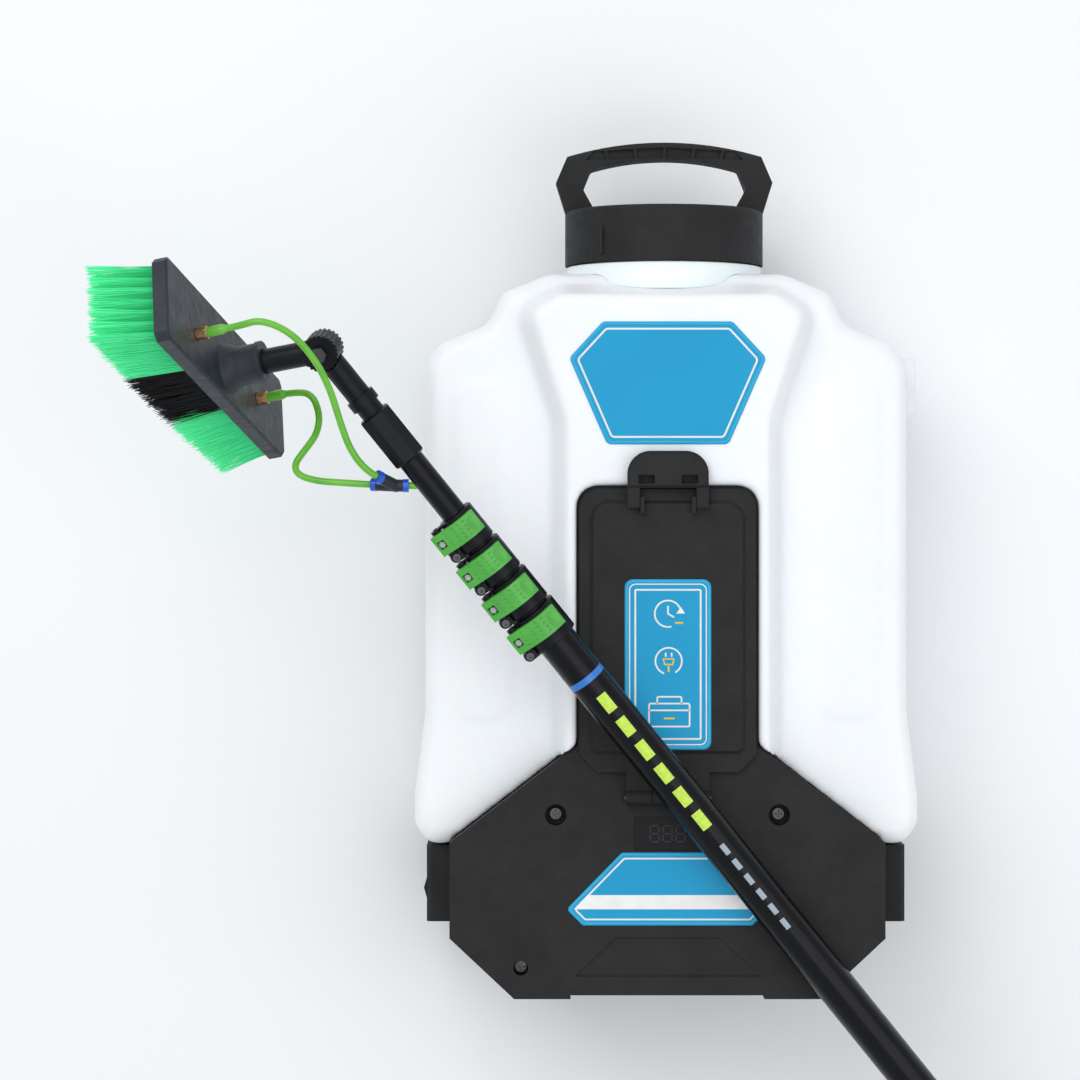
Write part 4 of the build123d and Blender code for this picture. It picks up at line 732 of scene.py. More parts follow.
# %% Base, door, latch and cap
for name, node, body, finish, width, slot in (
        ("base_skin", "base_housing", "tank", base_black, 0.7, "base_black"),
        ("neck_skin", "filler_neck", "tank", tank_white, 0.5, "tank_white"),
        ("outlet_cup_skin", "outlet_cup", "tank", base_black, 0.5, "base_black"),
        ("door_skin", "battery_door", "door", base_black, 0.5, "base_black"),
        ("latch_skin", "door_latch", "latch", base_black, 0.5, "base_black"),
        ("cap_skin", "filler_cap", "cap", base_black, 0.8, "base_black"),
        ("harness_frame_skin", "harness_frame", "tank", base_black, 0.8, "base_black"),
        ("rocker_skin", "power_rocker", "rocker", satin_black, 0.4, "gloss_black")):
    softened(name, node, body, finish, width, slot)
dress(base_black, "base_back_cover", "battery_dock", "neck_strainer")
dress(dark_steel, "cover_screws", "door_hinge_pin")
dress(steel, "pump_motor")
dress(dark_grey, "pump_head", "outlet_fitting")
dress(rubber, "cap_gasket", "suction_hose")
dress(battery_case, "battery_pack")
dress(display_glass, "display_window")
dress(label_blue, "front_labels", "door_label")

# %% [markdown]
# ## Pole, clamps and angle joint
# The pole is five tubes, one inside the other, and a clamp at the end of each but the last. All of them
# are round and hard, so they get smooth shading and small softened edges. A frame on the pole gives
# places along it and around it, which the levers and the printed marks need too.

# %% Pole frame
KNUCKLE = Vector(joints["arm_hinge"]["pos_m"])
TO_FOOT = -POLE_DIRECTION
SIDE = POLE_DIRECTION.cross(Vector((0, 0, 1))).normalized()
FRONT = TO_FOOT.cross(SIDE)
SECTIONS = 5
BODIES = ["pole_base"] + [f"section_{index}" for index in range(2, SECTIONS + 1)]


def pole_matrix(place, angle=0.0, radius=0.0):
    """A frame on the pole, at a distance from the angle joint: its X runs along the pole to the foot
    and its Z points out of the pole, at an angle from the pole's side."""
    out = SIDE * math.cos(angle) + FRONT * math.sin(angle)
    around = out.cross(TO_FOOT)
    return frame_of(TO_FOOT, around, out, KNUCKLE + TO_FOOT * place + out * radius)


# %% Tubes, clamps and joint
for index, body in enumerate(BODIES, 1):
    softened(f"tube_{index}", f"pole_tube_{index}", body, tube_black, 0.15, "tube_black")
for index, body in enumerate(BODIES[:-1], 1):
    softened(f"clamp_{index}", f"clamp_body_{index}", body, satin_black, 0.35, "gloss_black")
    dress(dark_steel, f"clamp_hardware_{index}")
    dress(steel, f"lever_bolt_{index}")
softened("foot_cap", "pole_foot", "pole_base", rubber, 0.6, "rubber")
softened("joint_lower", "angle_joint_lower", "section_5", satin_black, 0.4, "gloss_black")
softened("joint_arm", "angle_joint_arm", "arm", satin_black, 0.4, "gloss_black")
dress(dark_steel, "angle_joint_bolt")
dress(hose_green, "inner_hose")
softened("brush_board", "brush_block", "arm", dark_grey, 0.7, "fitting")
softened("connector_body", "y_connector", "section_5", dark_grey, 0.6, "fitting")
dress(collet_blue, "y_collets")
softened("jets", "spray_jets", "arm", brass, 0.25, "brass")
print("pieces so far:", len(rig.pieces()))

# %% [markdown]
# ## Levers
# Each lever is green moulded plastic with a thumb dish at one end, a window over its bolt at the
# other and a field of small dimples between them that gives grip. The dimples are cut from the lever
# with small balls, in rows that follow its curve, before its edges are softened.

# %% Levers
CLAMP_FIRST = 252 * MM
CLAMP_STEP = 30 * MM
TUBE_RADIUS = 14.5 * MM
TUBE_LESS = 1.25 * MM               # each section's radius is this much smaller
LEVER_REACH = 8.0 * MM              # from a tube's outside to its lever's outside
CURVE_END = math.radians(120)       # where the lever's curve ends and its flat part starts
DIMPLE_ANGLES = [math.radians(angle) for angle in (86, 102, 118)]
DIMPLE_FLAT = 7 * MM
DIMPLE_ROWS = [row * 3.6 * MM for row in (-1.5, -0.5, 0.5, 1.5)]
DIMPLE_RADIUS = 1.25 * MM
DIMPLE_OUT = 0.55 * MM              # how far outside the surface their centres stand
LEVER_EDGE = 0.35 * MM
LEVER_SHARP = math.radians(40)      # the facets inside a dimple meet at less than this


def dimple_places(index):
    """Where the balls stand on one lever: three columns on its curve, and one on its flat part."""
    radius = TUBE_RADIUS - TUBE_LESS * (index - 1) + LEVER_REACH + DIMPLE_OUT
    middle = CLAMP_FIRST - CLAMP_STEP * (index - 1)
    flat = -SIDE * math.sin(CURVE_END) + FRONT * math.cos(CURVE_END)
    for row in DIMPLE_ROWS:
        for angle in DIMPLE_ANGLES:
            yield pole_matrix(middle + row, angle, radius).to_translation()
        yield pole_matrix(middle + row, CURVE_END, radius).to_translation() + flat * DIMPLE_FLAT


def dimple_balls(index):
    """All the balls of one lever as one mesh."""
    mesh = bmesh.new()
    for place in dimple_places(index):
        bmesh.ops.create_icosphere(mesh, subdivisions=2, radius=DIMPLE_RADIUS,
                                   matrix=Matrix.Translation(place))
    return mesh


for index in range(1, SECTIONS):
    node = f"clamp_lever_{index}"
    balls = piece_from(dimple_balls(index), f"balls_{index}", lever_green)
    mesh = merged_copy(node)
    bmesh.ops.dissolve_limit(mesh, angle_limit=FLAT_ANGLE, verts=mesh.verts, edges=mesh.edges)
    lever = piece_from(mesh, f"lever_skin_{index}", lever_green)
    cut_with(lever, balls)
    round_edges(lever, LEVER_EDGE, LEVER_SHARP)
    baked(lever)
    bpy.data.objects.remove(balls)
    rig.ride(lever, f"lever_{index}")
    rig.replaces(lever, node)
    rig.slot(lever, "lever_green")
    print(node, "faces:", len(lever.data.polygons))

# %% [markdown]
# ## Hoses
# Two soft hoses of 5 mm run from the brush's jets to a Y connector beside the pole. Each follows the
# route of the CAD model: the route's points are the control points of one smooth spline, and a tube
# is laid along it. Both bend when the brush turns, so they belong to the pole's last section at one
# end and to the brush's arm at the other.

# %% Hose tubes
HOSE_RADIUS = 2.5 * MM
HOSE_SIDES = 20
HOSE_ROUTES = {
    "hose_upper": [
        (-319.6, 188.8, 341.9), (-306.2, 191.2, 345.3), (-290.0, 195.6, 351.0), (-268.6, 186.4, 347.0),
        (-252.4, 167.2, 334.0), (-243.2, 147.8, 322.0), (-237.4, 127.2, 312.0), (-230.4, 105.8, 303.0),
        (-218.6, 90.3, 298.7), (-211.4, 86.7, 292.7),
    ],
    "hose_lower": [
        (-284.9, 147.1, 234.9), (-273.5, 149.1, 237.8), (-260.7, 147.6, 243.0), (-254.5, 132.1, 249.0),
        (-256.5, 117.9, 254.0), (-265.0, 106.1, 259.0), (-272.5, 95.7, 263.0), (-269.6, 87.8, 267.0),
        (-255.1, 83.5, 271.0), (-235.5, 82.3, 275.0), (-226.6, 81.6, 275.1), (-215.9, 81.1, 277.7),
    ],
}
HOSE_LENGTHS = {"hose_upper": 184 * MM, "hose_lower": 150 * MM}


def spline_points(name, route):
    """The points of a smooth spline that has the route's points as its control points."""
    curve = bpy.data.curves.new(name + "_line", "CURVE")
    curve.dimensions = "3D"
    spline = curve.splines.new("NURBS")
    spline.points.add(len(route) - 1)
    for point, place in zip(spline.points, route):
        point.co = (*(part * MM for part in place), 1)
    spline.order_u = 3
    spline.use_endpoint_u = True
    spline.resolution_u = 14
    line = linked(name + "_line", curve)
    path = [vertex.co.copy() for vertex in evaluated(line).vertices]
    bpy.data.objects.remove(line)
    return path


def tube_on(path, radius_at, sides):
    """A closed tube along a path; its rings are carried along without twisting."""
    mesh = bmesh.new()
    across = None
    rings = []
    travelled = 0.0
    for index, place in enumerate(path):
        before = path[max(index - 1, 0)]
        after = path[min(index + 1, len(path) - 1)]
        heading = (after - before).normalized()
        if across is None:
            across = heading.orthogonal().normalized()
        across = (across - heading * across.dot(heading)).normalized()
        upward = heading.cross(across)
        travelled += (place - before).length
        radius = radius_at(travelled)
        ring = []
        for step in range(sides):
            turn = 2 * math.pi * step / sides
            ring.append(mesh.verts.new(place + (across * math.cos(turn) + upward * math.sin(turn)) * radius))
        rings.append(ring)
    for ring, following in zip(rings, rings[1:]):
        for step in range(sides):
            other = (step + 1) % sides
            mesh.faces.new((ring[step], ring[other], following[other], following[step]))
    mesh.faces.new(list(reversed(rings[0])))
    mesh.faces.new(rings[-1])
    return mesh


hoses = {}
for name, route in HOSE_ROUTES.items():
    path = spline_points(name, route)
    hose = piece_from(tube_on(path, lambda travelled: HOSE_RADIUS, HOSE_SIDES), name + "_tube", hose_green,
                      math.radians(60))
    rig.replaces(hose, name)
    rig.slot(hose, "hose_green")
    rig.blend(hose, "section_5", "arm", start=path[-1], end=path[0])
    carried = ["connector_body"] if name == "hose_upper" else ["y_collets"]
    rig.cord(hose, exit=path[0], length=HOSE_LENGTHS[name], diameter=2 * HOSE_RADIUS, far_end="connector",
            stiffness="limp", lay="loose", path=path, with_pieces=carried)
    hoses[name] = path
    length = sum((b - a).length for a, b in zip(path, path[1:]))
    print(name, "length in mm:", round(length / MM, 1))

# %% [markdown]
# Where a hose is pushed over its jet's barb it swells. A short sleeve shows that swelling: its radius
# follows a smooth bump, and it rides on the arm with the jet.

# %% Swollen hose ends
ARM = Vector((-0.955, -0.170, -0.243)).normalized()     # from the angle joint towards the brush
SWELL_LENGTH = 15 * MM
SWELL_RISE = 1.25 * MM


def swelling(travelled):
    """The sleeve's radius at a distance from its start."""
    rise = smooth_step(travelled, 0, 4 * MM) * (1 - 0.12 * smooth_step(travelled, 9 * MM, SWELL_LENGTH))
    return HOSE_RADIUS + 0.05 * MM + SWELL_RISE * rise


for name, path in hoses.items():
    start = path[0] - ARM * 5.5 * MM
    steps = [start + ARM * (SWELL_LENGTH * step / 16) for step in range(17)]
    sleeve = piece_from(tube_on(steps, swelling, 24), name + "_end", hose_green, math.radians(50))
    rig.ride(sleeve, "arm")
    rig.slot(sleeve, "hose_green")

# %% [markdown]
# ## Geometry Nodes helpers
# What repeats is grown by Geometry Nodes: the brush's filaments, the strokes printed on the labels and
# the stitches of the straps. One helper makes a tree with named inputs. Short ones stand for the nodes
# that come back often, so that a tree reads almost like arithmetic. The last runs a tree on a source
# mesh and keeps the result as a plain mesh.


# %% Node tree helpers
def node_tree(name, sockets):
    """A Geometry Nodes tree with a geometry input and output and named inputs for its sizes."""
    tree = bpy.data.node_groups.new(name, "GeometryNodeTree")
    tree.interface.new_socket("Geometry", in_out="INPUT", socket_type="NodeSocketGeometry")
    for label, (kind, value) in sockets.items():
        socket = tree.interface.new_socket(label, in_out="INPUT", socket_type="NodeSocket" + kind)
        if value is not None:
            socket.default_value = value
    tree.interface.new_socket("Geometry", in_out="OUTPUT", socket_type="NodeSocketGeometry")
    return tree


def geo(tree, kind, wires=None, **settings):
    """The first output of a new geometry node."""
    return add_node(tree, "GeometryNode" + kind, wires, **settings).outputs[0]


def combined(tree, operation, one, other):
    """The number that a Math node makes of two."""
    return add_node(tree, "ShaderNodeMath", {0: one, 1: other}, operation=operation).outputs[0]


def scaled(tree, vector, factor):
    """A vector times a number."""
    return add_node(tree, "ShaderNodeVectorMath", {0: vector, "Scale": factor}, operation="SCALE").outputs[0]


def random_offset(tree, seed):
    """A random vector in the XY plane, from -1 to 1 each way."""
    return add_node(tree, "FunctionNodeRandomValue", {0: (-1, -1, 0), 1: (1, 1, 0), "Seed": seed},
                    data_type="FLOAT_VECTOR").outputs[0]


def random_number(tree, low, high, seed):
    """A random number between two others."""
    return add_node(tree, "FunctionNodeRandomValue", {2: low, 3: high, "Seed": seed},
                    data_type="FLOAT").outputs[1]


def stored(tree, geometry, name, value, data_type="FLOAT"):
    """The geometry with a value kept on its points as a named attribute."""
    wires = {"Geometry": geometry, "Name": name, "Value": value}
    return geo(tree, "StoreNamedAttribute", wires, data_type=data_type, domain="POINT")


def read_back(tree, name, data_type="FLOAT"):
    """The value that was kept under a name."""
    return geo(tree, "InputNamedAttribute", {"Name": name}, data_type=data_type)


def close_tree(tree, geometry, material):
    """Ends a tree: what it made gets its finish and goes out."""
    dressed = add_node(tree, "GeometryNodeSetMaterial", {"Geometry": geometry, "Material": material})
    add_node(tree, "NodeGroupOutput", {"Geometry": dressed.outputs[0]})


def grown(name, source_mesh, tree, **values):
    """What a tree makes of a source mesh, as a plain object."""
    source = linked(name + "_source", source_mesh)
    modifier = source.modifiers.new("grow", "NODES")
    modifier.node_group = tree
    for item in tree.interface.items_tree:
        key = item.name.replace(" ", "_")
        if item.in_out == "INPUT" and key in values:
            modifier[item.identifier] = values[key]
    result = evaluated(source)
    result.name = name
    bpy.data.objects.remove(source)
    print(name, "triangles:", sum(len(face.vertices) - 2 for face in result.polygons))
    return linked(name, result)


def line_mesh(name, lines):
    """A mesh of loose edges from (points, closed) lines."""
    points, edges = [], []
    for line, closed in lines:
        first = len(points)
        points.extend(line)
        edges.extend((first + step, first + step + 1) for step in range(len(line) - 1))
        if closed:
            edges.append((len(points) - 1, first))
    mesh = bpy.data.meshes.new(name)
    mesh.from_pydata(points, edges, [])
    return mesh


# %% [markdown]
# ## Brush
# The board holds tufts of stiff filaments in rows. The tree starts from one point for each tuft:
# it doubles that point into many, moves each a little inside its hole, and sets a filament on it that
# leans outwards, more towards the brush's ends. Each filament keeps how far along it a point is, and
# how dark it is, as attributes that the finish reads. A later step bends the tips a little.

# %% Filament tree: its sizes, and points in each hole
SWAY_SEED, STRAY_SEED, LENGTH_SEED, SHADE_SEED = 5, 11, 17, 23
DARKEST = 0.55                      # how much of the dark colour a filament may take
SHORTEST = 0.93                     # the shortest filament, of the full length
TIP_SHARE = 0.7                     # a tip's thickness, of its root's

filaments = node_tree("filaments", {
    "Filaments": ("Int", 24), "Tuft Radius": ("Float", 1.7 * MM), "Length": ("Float", 47 * MM),
    "Thickness": ("Float", 0.26 * MM), "Flare Along": ("Float", 0.16), "Flare Across": ("Float", 0.04),
    "Middle Across": ("Float", 7 * MM), "Spread": ("Float", 0.055), "Sway": ("Float", 1.1 * MM),
    "Seed": ("Int", 3), "Finish": ("Material", None),
})
given = add_node(filaments, "NodeGroupInput").outputs
spot = geo(filaments, "InputPosition")
many = geo(filaments, "DuplicateElements",
           {"Geometry": given["Geometry"], "Amount": given["Filaments"]}, domain="POINT")
in_hole = scaled(filaments, random_offset(filaments, given["Seed"]), given["Tuft Radius"])
placed = geo(filaments, "SetPosition", {"Geometry": many, "Offset": in_hole})
shaded = stored(filaments, placed, "shade", random_number(filaments, 0.0, DARKEST, SHADE_SEED))
swayed = stored(filaments, shaded, "sway", random_offset(filaments, SWAY_SEED), "FLOAT_VECTOR")

# %% Filament tree: which way each one points
across = add_node(filaments, "ShaderNodeSeparateXYZ", {0: spot}).outputs
from_middle = combined(filaments, "SUBTRACT", across[1], given["Middle Across"])
lean = add_node(filaments, "ShaderNodeCombineXYZ", {
    0: combined(filaments, "MULTIPLY", across[0], given["Flare Along"]),
    1: combined(filaments, "MULTIPLY", from_middle, given["Flare Across"]),
    2: given["Length"],
}).outputs[0]
loose = combined(filaments, "MULTIPLY", given["Length"], given["Spread"])
stray = scaled(filaments, random_offset(filaments, STRAY_SEED), loose)
aim = add_node(filaments, "ShaderNodeVectorMath", {0: lean, 1: stray}, operation="ADD").outputs[0]
turned = add_node(filaments, "FunctionNodeAlignRotationToVector", {"Vector": aim}, axis="Z").outputs[0]

# %% Filament tree: the filament, and its bent tip
filament = geo(filaments, "MeshCone", {
    "Vertices": 4, "Side Segments": 3, "Radius Bottom": given["Thickness"], "Depth": given["Length"],
    "Radius Top": combined(filaments, "MULTIPLY", given["Thickness"], TIP_SHARE),
}, fill_type="NGON")
cone_spot = geo(filaments, "InputPosition")
height = add_node(filaments, "ShaderNodeSeparateXYZ", {0: cone_spot}).outputs[2]
measured = stored(filaments, filament, "along", combined(filaments, "DIVIDE", height, given["Length"]))
uneven = add_node(filaments, "ShaderNodeCombineXYZ",
                  {0: 1.0, 1: 1.0, 2: random_number(filaments, SHORTEST, 1.0, LENGTH_SEED)}).outputs[0]
set_in = geo(filaments, "InstanceOnPoints",
             {"Points": swayed, "Instance": measured, "Rotation": turned, "Scale": uneven})
real = geo(filaments, "RealizeInstances", {"Geometry": set_in})
along = read_back(filaments, "along")
push = read_back(filaments, "sway", "FLOAT_VECTOR")
amount = combined(filaments, "MULTIPLY", combined(filaments, "MULTIPLY", along, along), given["Sway"])
bent = geo(filaments, "SetPosition", {"Geometry": real, "Offset": scaled(filaments, push, amount)})
close_tree(filaments, bent, given["Finish"])
print("filament tree nodes:", len(filaments.nodes))

# %% Tufts on the board
BRUSH_HINT = Vector((-0.285, 0.3485, 0.893))        # along the brush
BRUSH_ALONG = (BRUSH_HINT - ARM * BRUSH_HINT.dot(ARM)).normalized()
BRUSH_ACROSS = ARM.cross(BRUSH_ALONG)
BRUSH_REACH = 72 * MM               # from the angle joint to the board's back
BOARD_THICKNESS = 11 * MM
FIELD_MIDDLE = 7 * MM               # the field of tufts is off the socket's axis
ROOT_HEIGHT = BOARD_THICKNESS + 1.2 * MM
TUFT_PITCH = (4.0 * MM, 8.4 * MM)
TUFT_ROWS = 7
FIELD_HALF = 110 * MM
BLACK_FROM, BLACK_TO = -26 * MM, 48 * MM
JET_PLACES = [(60 * MM, 1 * MM), (-60 * MM, 1 * MM)]
JET_CLEAR = 4.2 * MM

brush_frame = frame_of(BRUSH_ALONG, BRUSH_ACROSS, ARM, KNUCKLE + ARM * BRUSH_REACH)


def tuft_places(low, high):
    """Points for the tufts of one colour, in rows that are set half a pitch apart."""
    pitch_x, pitch_y = TUFT_PITCH
    for row in range(TUFT_ROWS):
        y = FIELD_MIDDLE + (row - (TUFT_ROWS - 1) / 2) * pitch_y
        for column in range(int(2 * FIELD_HALF / pitch_x) + 1):
            x = -FIELD_HALF + pitch_x * (column + 0.5 * (row % 2))
            clear = min(math.hypot(x - jet_x, y - jet_y) for jet_x, jet_y in JET_PLACES) > JET_CLEAR
            if low <= x <= high and clear:
                yield (x, y, ROOT_HEIGHT)


def tufts(name, low, high, colour, finish, seed):
    """The tufts of one colour between two places along the brush."""
    mesh = bpy.data.meshes.new(name + "_places")
    mesh.from_pydata(list(tuft_places(low, high)), [], [])
    piece = grown(name, mesh, filaments, Seed=seed, Finish=finish)
    piece.data.transform(brush_frame)
    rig.ride(piece, "arm")
    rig.replaces(piece, f"{colour}_bristles")
    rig.slot(piece, f"bristle_{colour}")


GREEN_GAP, BLACK_GAP = 2 * MM, 1 * MM       # bare edges between the colours
tufts("green_tufts_near", BLACK_TO + GREEN_GAP, FIELD_HALF, "green", filament_green, 3)
tufts("green_tufts_far", -FIELD_HALF, BLACK_FROM - GREEN_GAP, "green", filament_green, 4)
tufts("black_tufts", BLACK_FROM + BLACK_GAP, BLACK_TO - BLACK_GAP, "black", filament_black, 5)

# %% [markdown]
# ## Labels
# The labels are printed film. Their borders and pictures are thin strokes: a tree turns each line of
# edges into a curve, rounds its corners and lays a flat strip along it. The pictures are plain ones,
# a clock, a plug and a battery. Broad areas are cut as single films.

# %% Stroke tree
strokes = node_tree("strokes", {
    "Width": ("Float", 1.4 * MM), "Height": ("Float", 0.06 * MM), "Corner": ("Float", 2 * MM),
    "Finish": ("Material", None),
})
given = add_node(strokes, "NodeGroupInput").outputs
curve = geo(strokes, "MeshToCurve", {"Mesh": given["Geometry"]})
rounded = geo(strokes, "FilletCurve",
              {"Curve": curve, "Radius": given["Corner"], "Count": 6, "Limit Radius": True},
              mode="POLY")
level = geo(strokes, "SetCurveNormal", {"Curve": rounded}, mode="Z_UP")
strip = geo(strokes, "CurvePrimitiveQuadrilateral", {"Width": given["Width"], "Height": given["Height"]})
laid = geo(strokes, "CurveToMesh", {"Curve": level, "Profile Curve": strip, "Fill Caps": True})
real = geo(strokes, "RealizeInstances", {"Geometry": laid})
close_tree(strokes, real, given["Finish"])
print("stroke tree nodes:", len(strokes.nodes))


def printed(name, lines, body, finish, width, corner=0.0):
    """Strokes along (points, closed) lines, on a body."""
    piece = grown(name, line_mesh(name + "_lines", lines), strokes, Width=width, Corner=corner, Finish=finish)
    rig.ride(piece, body)
    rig.slot(piece, "label_blue")


def film(name, shapes, body, finish, slot="label_blue", thickness=0.05 * MM):
    """Thin flat sheets with the given outlines, as one piece.

    The faces are made one by one, because Blender's extrude lists the sides in a new order each run.
    """
    mesh = bmesh.new()
    for shape in shapes:
        low, high = [[mesh.verts.new(point) for point in shape] for _ in range(2)]
        bmesh.ops.translate(mesh, verts=high, vec=(0, 0, thickness))
        mesh.faces.new(low[::-1])
        mesh.faces.new(high)
        for index in range(len(shape)):
            mesh.faces.new((low[index - 1], low[index], high[index], high[index - 1]))
    bmesh.ops.recalc_face_normals(mesh, faces=mesh.faces)
    piece = piece_from(mesh, name, finish)
    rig.ride(piece, body)
    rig.slot(piece, slot)


# %% Outlines of the labels
FEET_Y = -300 * MM
UPPER_MIDDLE = FEET_Y + 458 * MM
UPPER_CORNERS = [(-48, 45), (-73, 18), (-45, -46), (45, -46), (73, 18), (48, 45)]
LOWER_CORNERS = [(-34, 109), (-75, 67), (-63, 55), (63, 55), (75, 67), (34, 109)]
DOOR_X, DOOR_Y = 32, 63             # half the door label's size
DOOR_MIDDLE = FEET_Y + 249 * MM
DOOR_CORNERS = [(-DOOR_X, DOOR_Y), (-DOOR_X, -DOOR_Y), (DOOR_X, -DOOR_Y), (DOOR_X, DOOR_Y)]


def drawn_in(corners, inset, base_y, z):
    """The outline moved inwards by inset, as points in metres; the corners run anticlockwise."""
    points = [Vector((x * MM, base_y + y * MM)) for x, y in corners]
    moved = []
    for index, here in enumerate(points):
        before = (here - points[index - 1]).normalized()
        after = (points[(index + 1) % len(points)] - here).normalized()
        inwards_before = Vector((-before.y, before.x))
        inwards_after = Vector((-after.y, after.x))
        corner = (inwards_before + inwards_after).normalized()
        corner = corner * (inset * MM / corner.dot(inwards_before))
        moved.append(((here + corner).x, (here + corner).y, z))
    return moved


PRINT_LIFT = 0.03 * MM              # the strokes' middle, over the label's face
UPPER_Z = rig.box("front_labels")[1][2] + PRINT_LIFT
LOWER_Z = 190.6 * MM + PRINT_LIFT
DOOR_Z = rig.box("door_label")[1][2] + PRINT_LIFT
print("label faces in mm:", round(UPPER_Z / MM, 2), round(LOWER_Z / MM, 2), round(DOOR_Z / MM, 2))

# %% Borders of the labels
BORDERS = [     # name, corners, body, middle, face, how far in, finish, width and corner radius in mm
    ("upper_rim", UPPER_CORNERS, "tank", UPPER_MIDDLE, UPPER_Z, 1.5, label_light, 2.4, 4.4),
    ("upper_line", UPPER_CORNERS, "tank", UPPER_MIDDLE, UPPER_Z, 5.4, label_white, 1.5, 3.2),
    ("lower_rim", LOWER_CORNERS, "tank", FEET_Y, LOWER_Z, 1.5, label_light, 2.4, 2.6),
    ("lower_line", LOWER_CORNERS, "tank", FEET_Y, LOWER_Z, 4.4, label_white, 1.3, 2.0),
    ("door_rim", DOOR_CORNERS, "door", DOOR_MIDDLE, DOOR_Z, 1.5, label_light, 2.4, 5.5),
    ("door_thin_line", DOOR_CORNERS, "door", DOOR_MIDDLE, DOOR_Z, 3.6, label_white, 0.9, 4.5),
    ("door_line", DOOR_CORNERS, "door", DOOR_MIDDLE, DOOR_Z, 7.8, label_white, 1.4, 0.8),
]
for name, corners, body, middle, face_z, inset, ink, width, corner in BORDERS:
    border = drawn_in(corners, inset, middle, face_z)
    printed(name, [(border, True)], body, ink, width * MM, corner * MM)
STRIPE = [(-69.5, 67), (69.5, 67), (59.5, 77.5), (-59.5, 77.5)]
film("lower_stripe", [[(x * MM, FEET_Y + y * MM, LOWER_Z) for x, y in STRIPE]], "tank", label_white)

# %% Pictures on the door label
PICTURE_WIDTH = 1.3 * MM
PICTURE_RADIUS = 9.8 * MM


def arc(centre, radius, start, end, steps=28):
    """Points of an arc on the door label, angles in degrees."""
    points = []
    for step in range(steps + 1):
        turn = math.radians(start + (end - start) * step / steps)
        points.append((centre[0] + radius * math.cos(turn), centre[1] + radius * math.sin(turn), DOOR_Z))
    return points


def at(centre, *offsets):
    """Points given as offsets in mm from a centre on the door label."""
    return [(centre[0] + x * MM, centre[1] + y * MM, DOOR_Z) for x, y in offsets]


CLOCK = (0.0, DOOR_MIDDLE + 37.5 * MM)
PLUG = (0.5 * MM, DOOR_MIDDLE + 2.5 * MM)
CELL = (1.0 * MM, DOOR_MIDDLE - 35 * MM)
white_lines = [
    (arc(CLOCK, PICTURE_RADIUS, 20, 285), False),
    (at(CLOCK, (0, 6), (0, 0), (4.5, -2.6)), False),
    (arc(PLUG, PICTURE_RADIUS, -60, 250), False),
    (at(PLUG, (-2.2, 6.2), (-2.2, 3.2)), False),
    (at(PLUG, (2.2, 6.2), (2.2, 3.2)), False),
    (at(CELL, (-15, -11), (15, -11), (15, 6), (-15, 6)), True),
    (at(CELL, (-9, 6), (-9, 11), (9, 11), (9, 6)), False),
    (at(CELL, (-15, 1), (15, 1)), False),
]
printed("door_pictures", white_lines, "door", label_white, PICTURE_WIDTH, 1.2 * MM)
film("door_arrow", [at(CLOCK, (6.2, 0.2), (9.6, 5.0), (12.6, 0.2))], "door", label_white)
yellow_lines = [
    (at(CELL, (-4, -5), (4, -5)), False),
    (at(PLUG, (-4, 1.6), (4, 1.6), (3, -2.6), (-3, -2.6)), True),
    (at(PLUG, (0, -3.6), (0, -8)), False),
    (at(CLOCK, (5.2, -6.8), (11.2, -6.8)), False),
]
printed("door_accents", yellow_lines, "door", label_yellow, 1.4 * MM)

# %% [markdown]
# ## Display
# The real display is glass over three seven-segment digits. Unlit, their segments can just be made out,
# so each is a thin film that is only a little lighter than the window.

# %% Ghost digits
DIGIT_SIZE = (6.5 * MM, 12 * MM)
SEGMENT = 1.1 * MM
DISPLAY_Y = FEET_Y + 123 * MM
DISPLAY_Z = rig.box("display_window")[1][2] + 0.02 * MM
DIGIT_PLACES = [-9.5 * MM, 0.0, 9.5 * MM]


def digit_segments(x):
    """The seven bars of one digit."""
    half, tall = DIGIT_SIZE[0] / 2, DIGIT_SIZE[1] / 2
    bars = [(0, y, half - SEGMENT * 0.8, SEGMENT / 2) for y in (-tall, 0, tall)]
    bars += [(side * half, y, SEGMENT / 2, tall / 2 - SEGMENT * 0.7) for side in (-1, 1)
             for y in (-tall / 2, tall / 2)]
    for bar_x, bar_y, half_x, half_y in bars:
        corners = ((-half_x, -half_y), (half_x, -half_y), (half_x, half_y), (-half_x, half_y))
        yield [(x + bar_x + dx, DISPLAY_Y + bar_y + dy, DISPLAY_Z) for dx, dy in corners]


digit_bars = [bar for x in DIGIT_PLACES for bar in digit_segments(x)]
film("ghost_digits", digit_bars, "tank", ghost_grey, "display", 0.03 * MM)
print("digit bars:", len(digit_bars))

# %% [markdown]
# ## Marks on the pole
# The base tube carries plain printed marks: a blue ring near its clamp, a row of lime dashes and a row
# of thin grey ones. A picture wrapped on the tube would do, but a thin curved plate that follows it
# stays sharp from close by and is real geometry.

# %% Pole marks
MARK_RADIUS = TUBE_RADIUS + 0.02 * MM
MARK_THICKNESS = 0.05 * MM


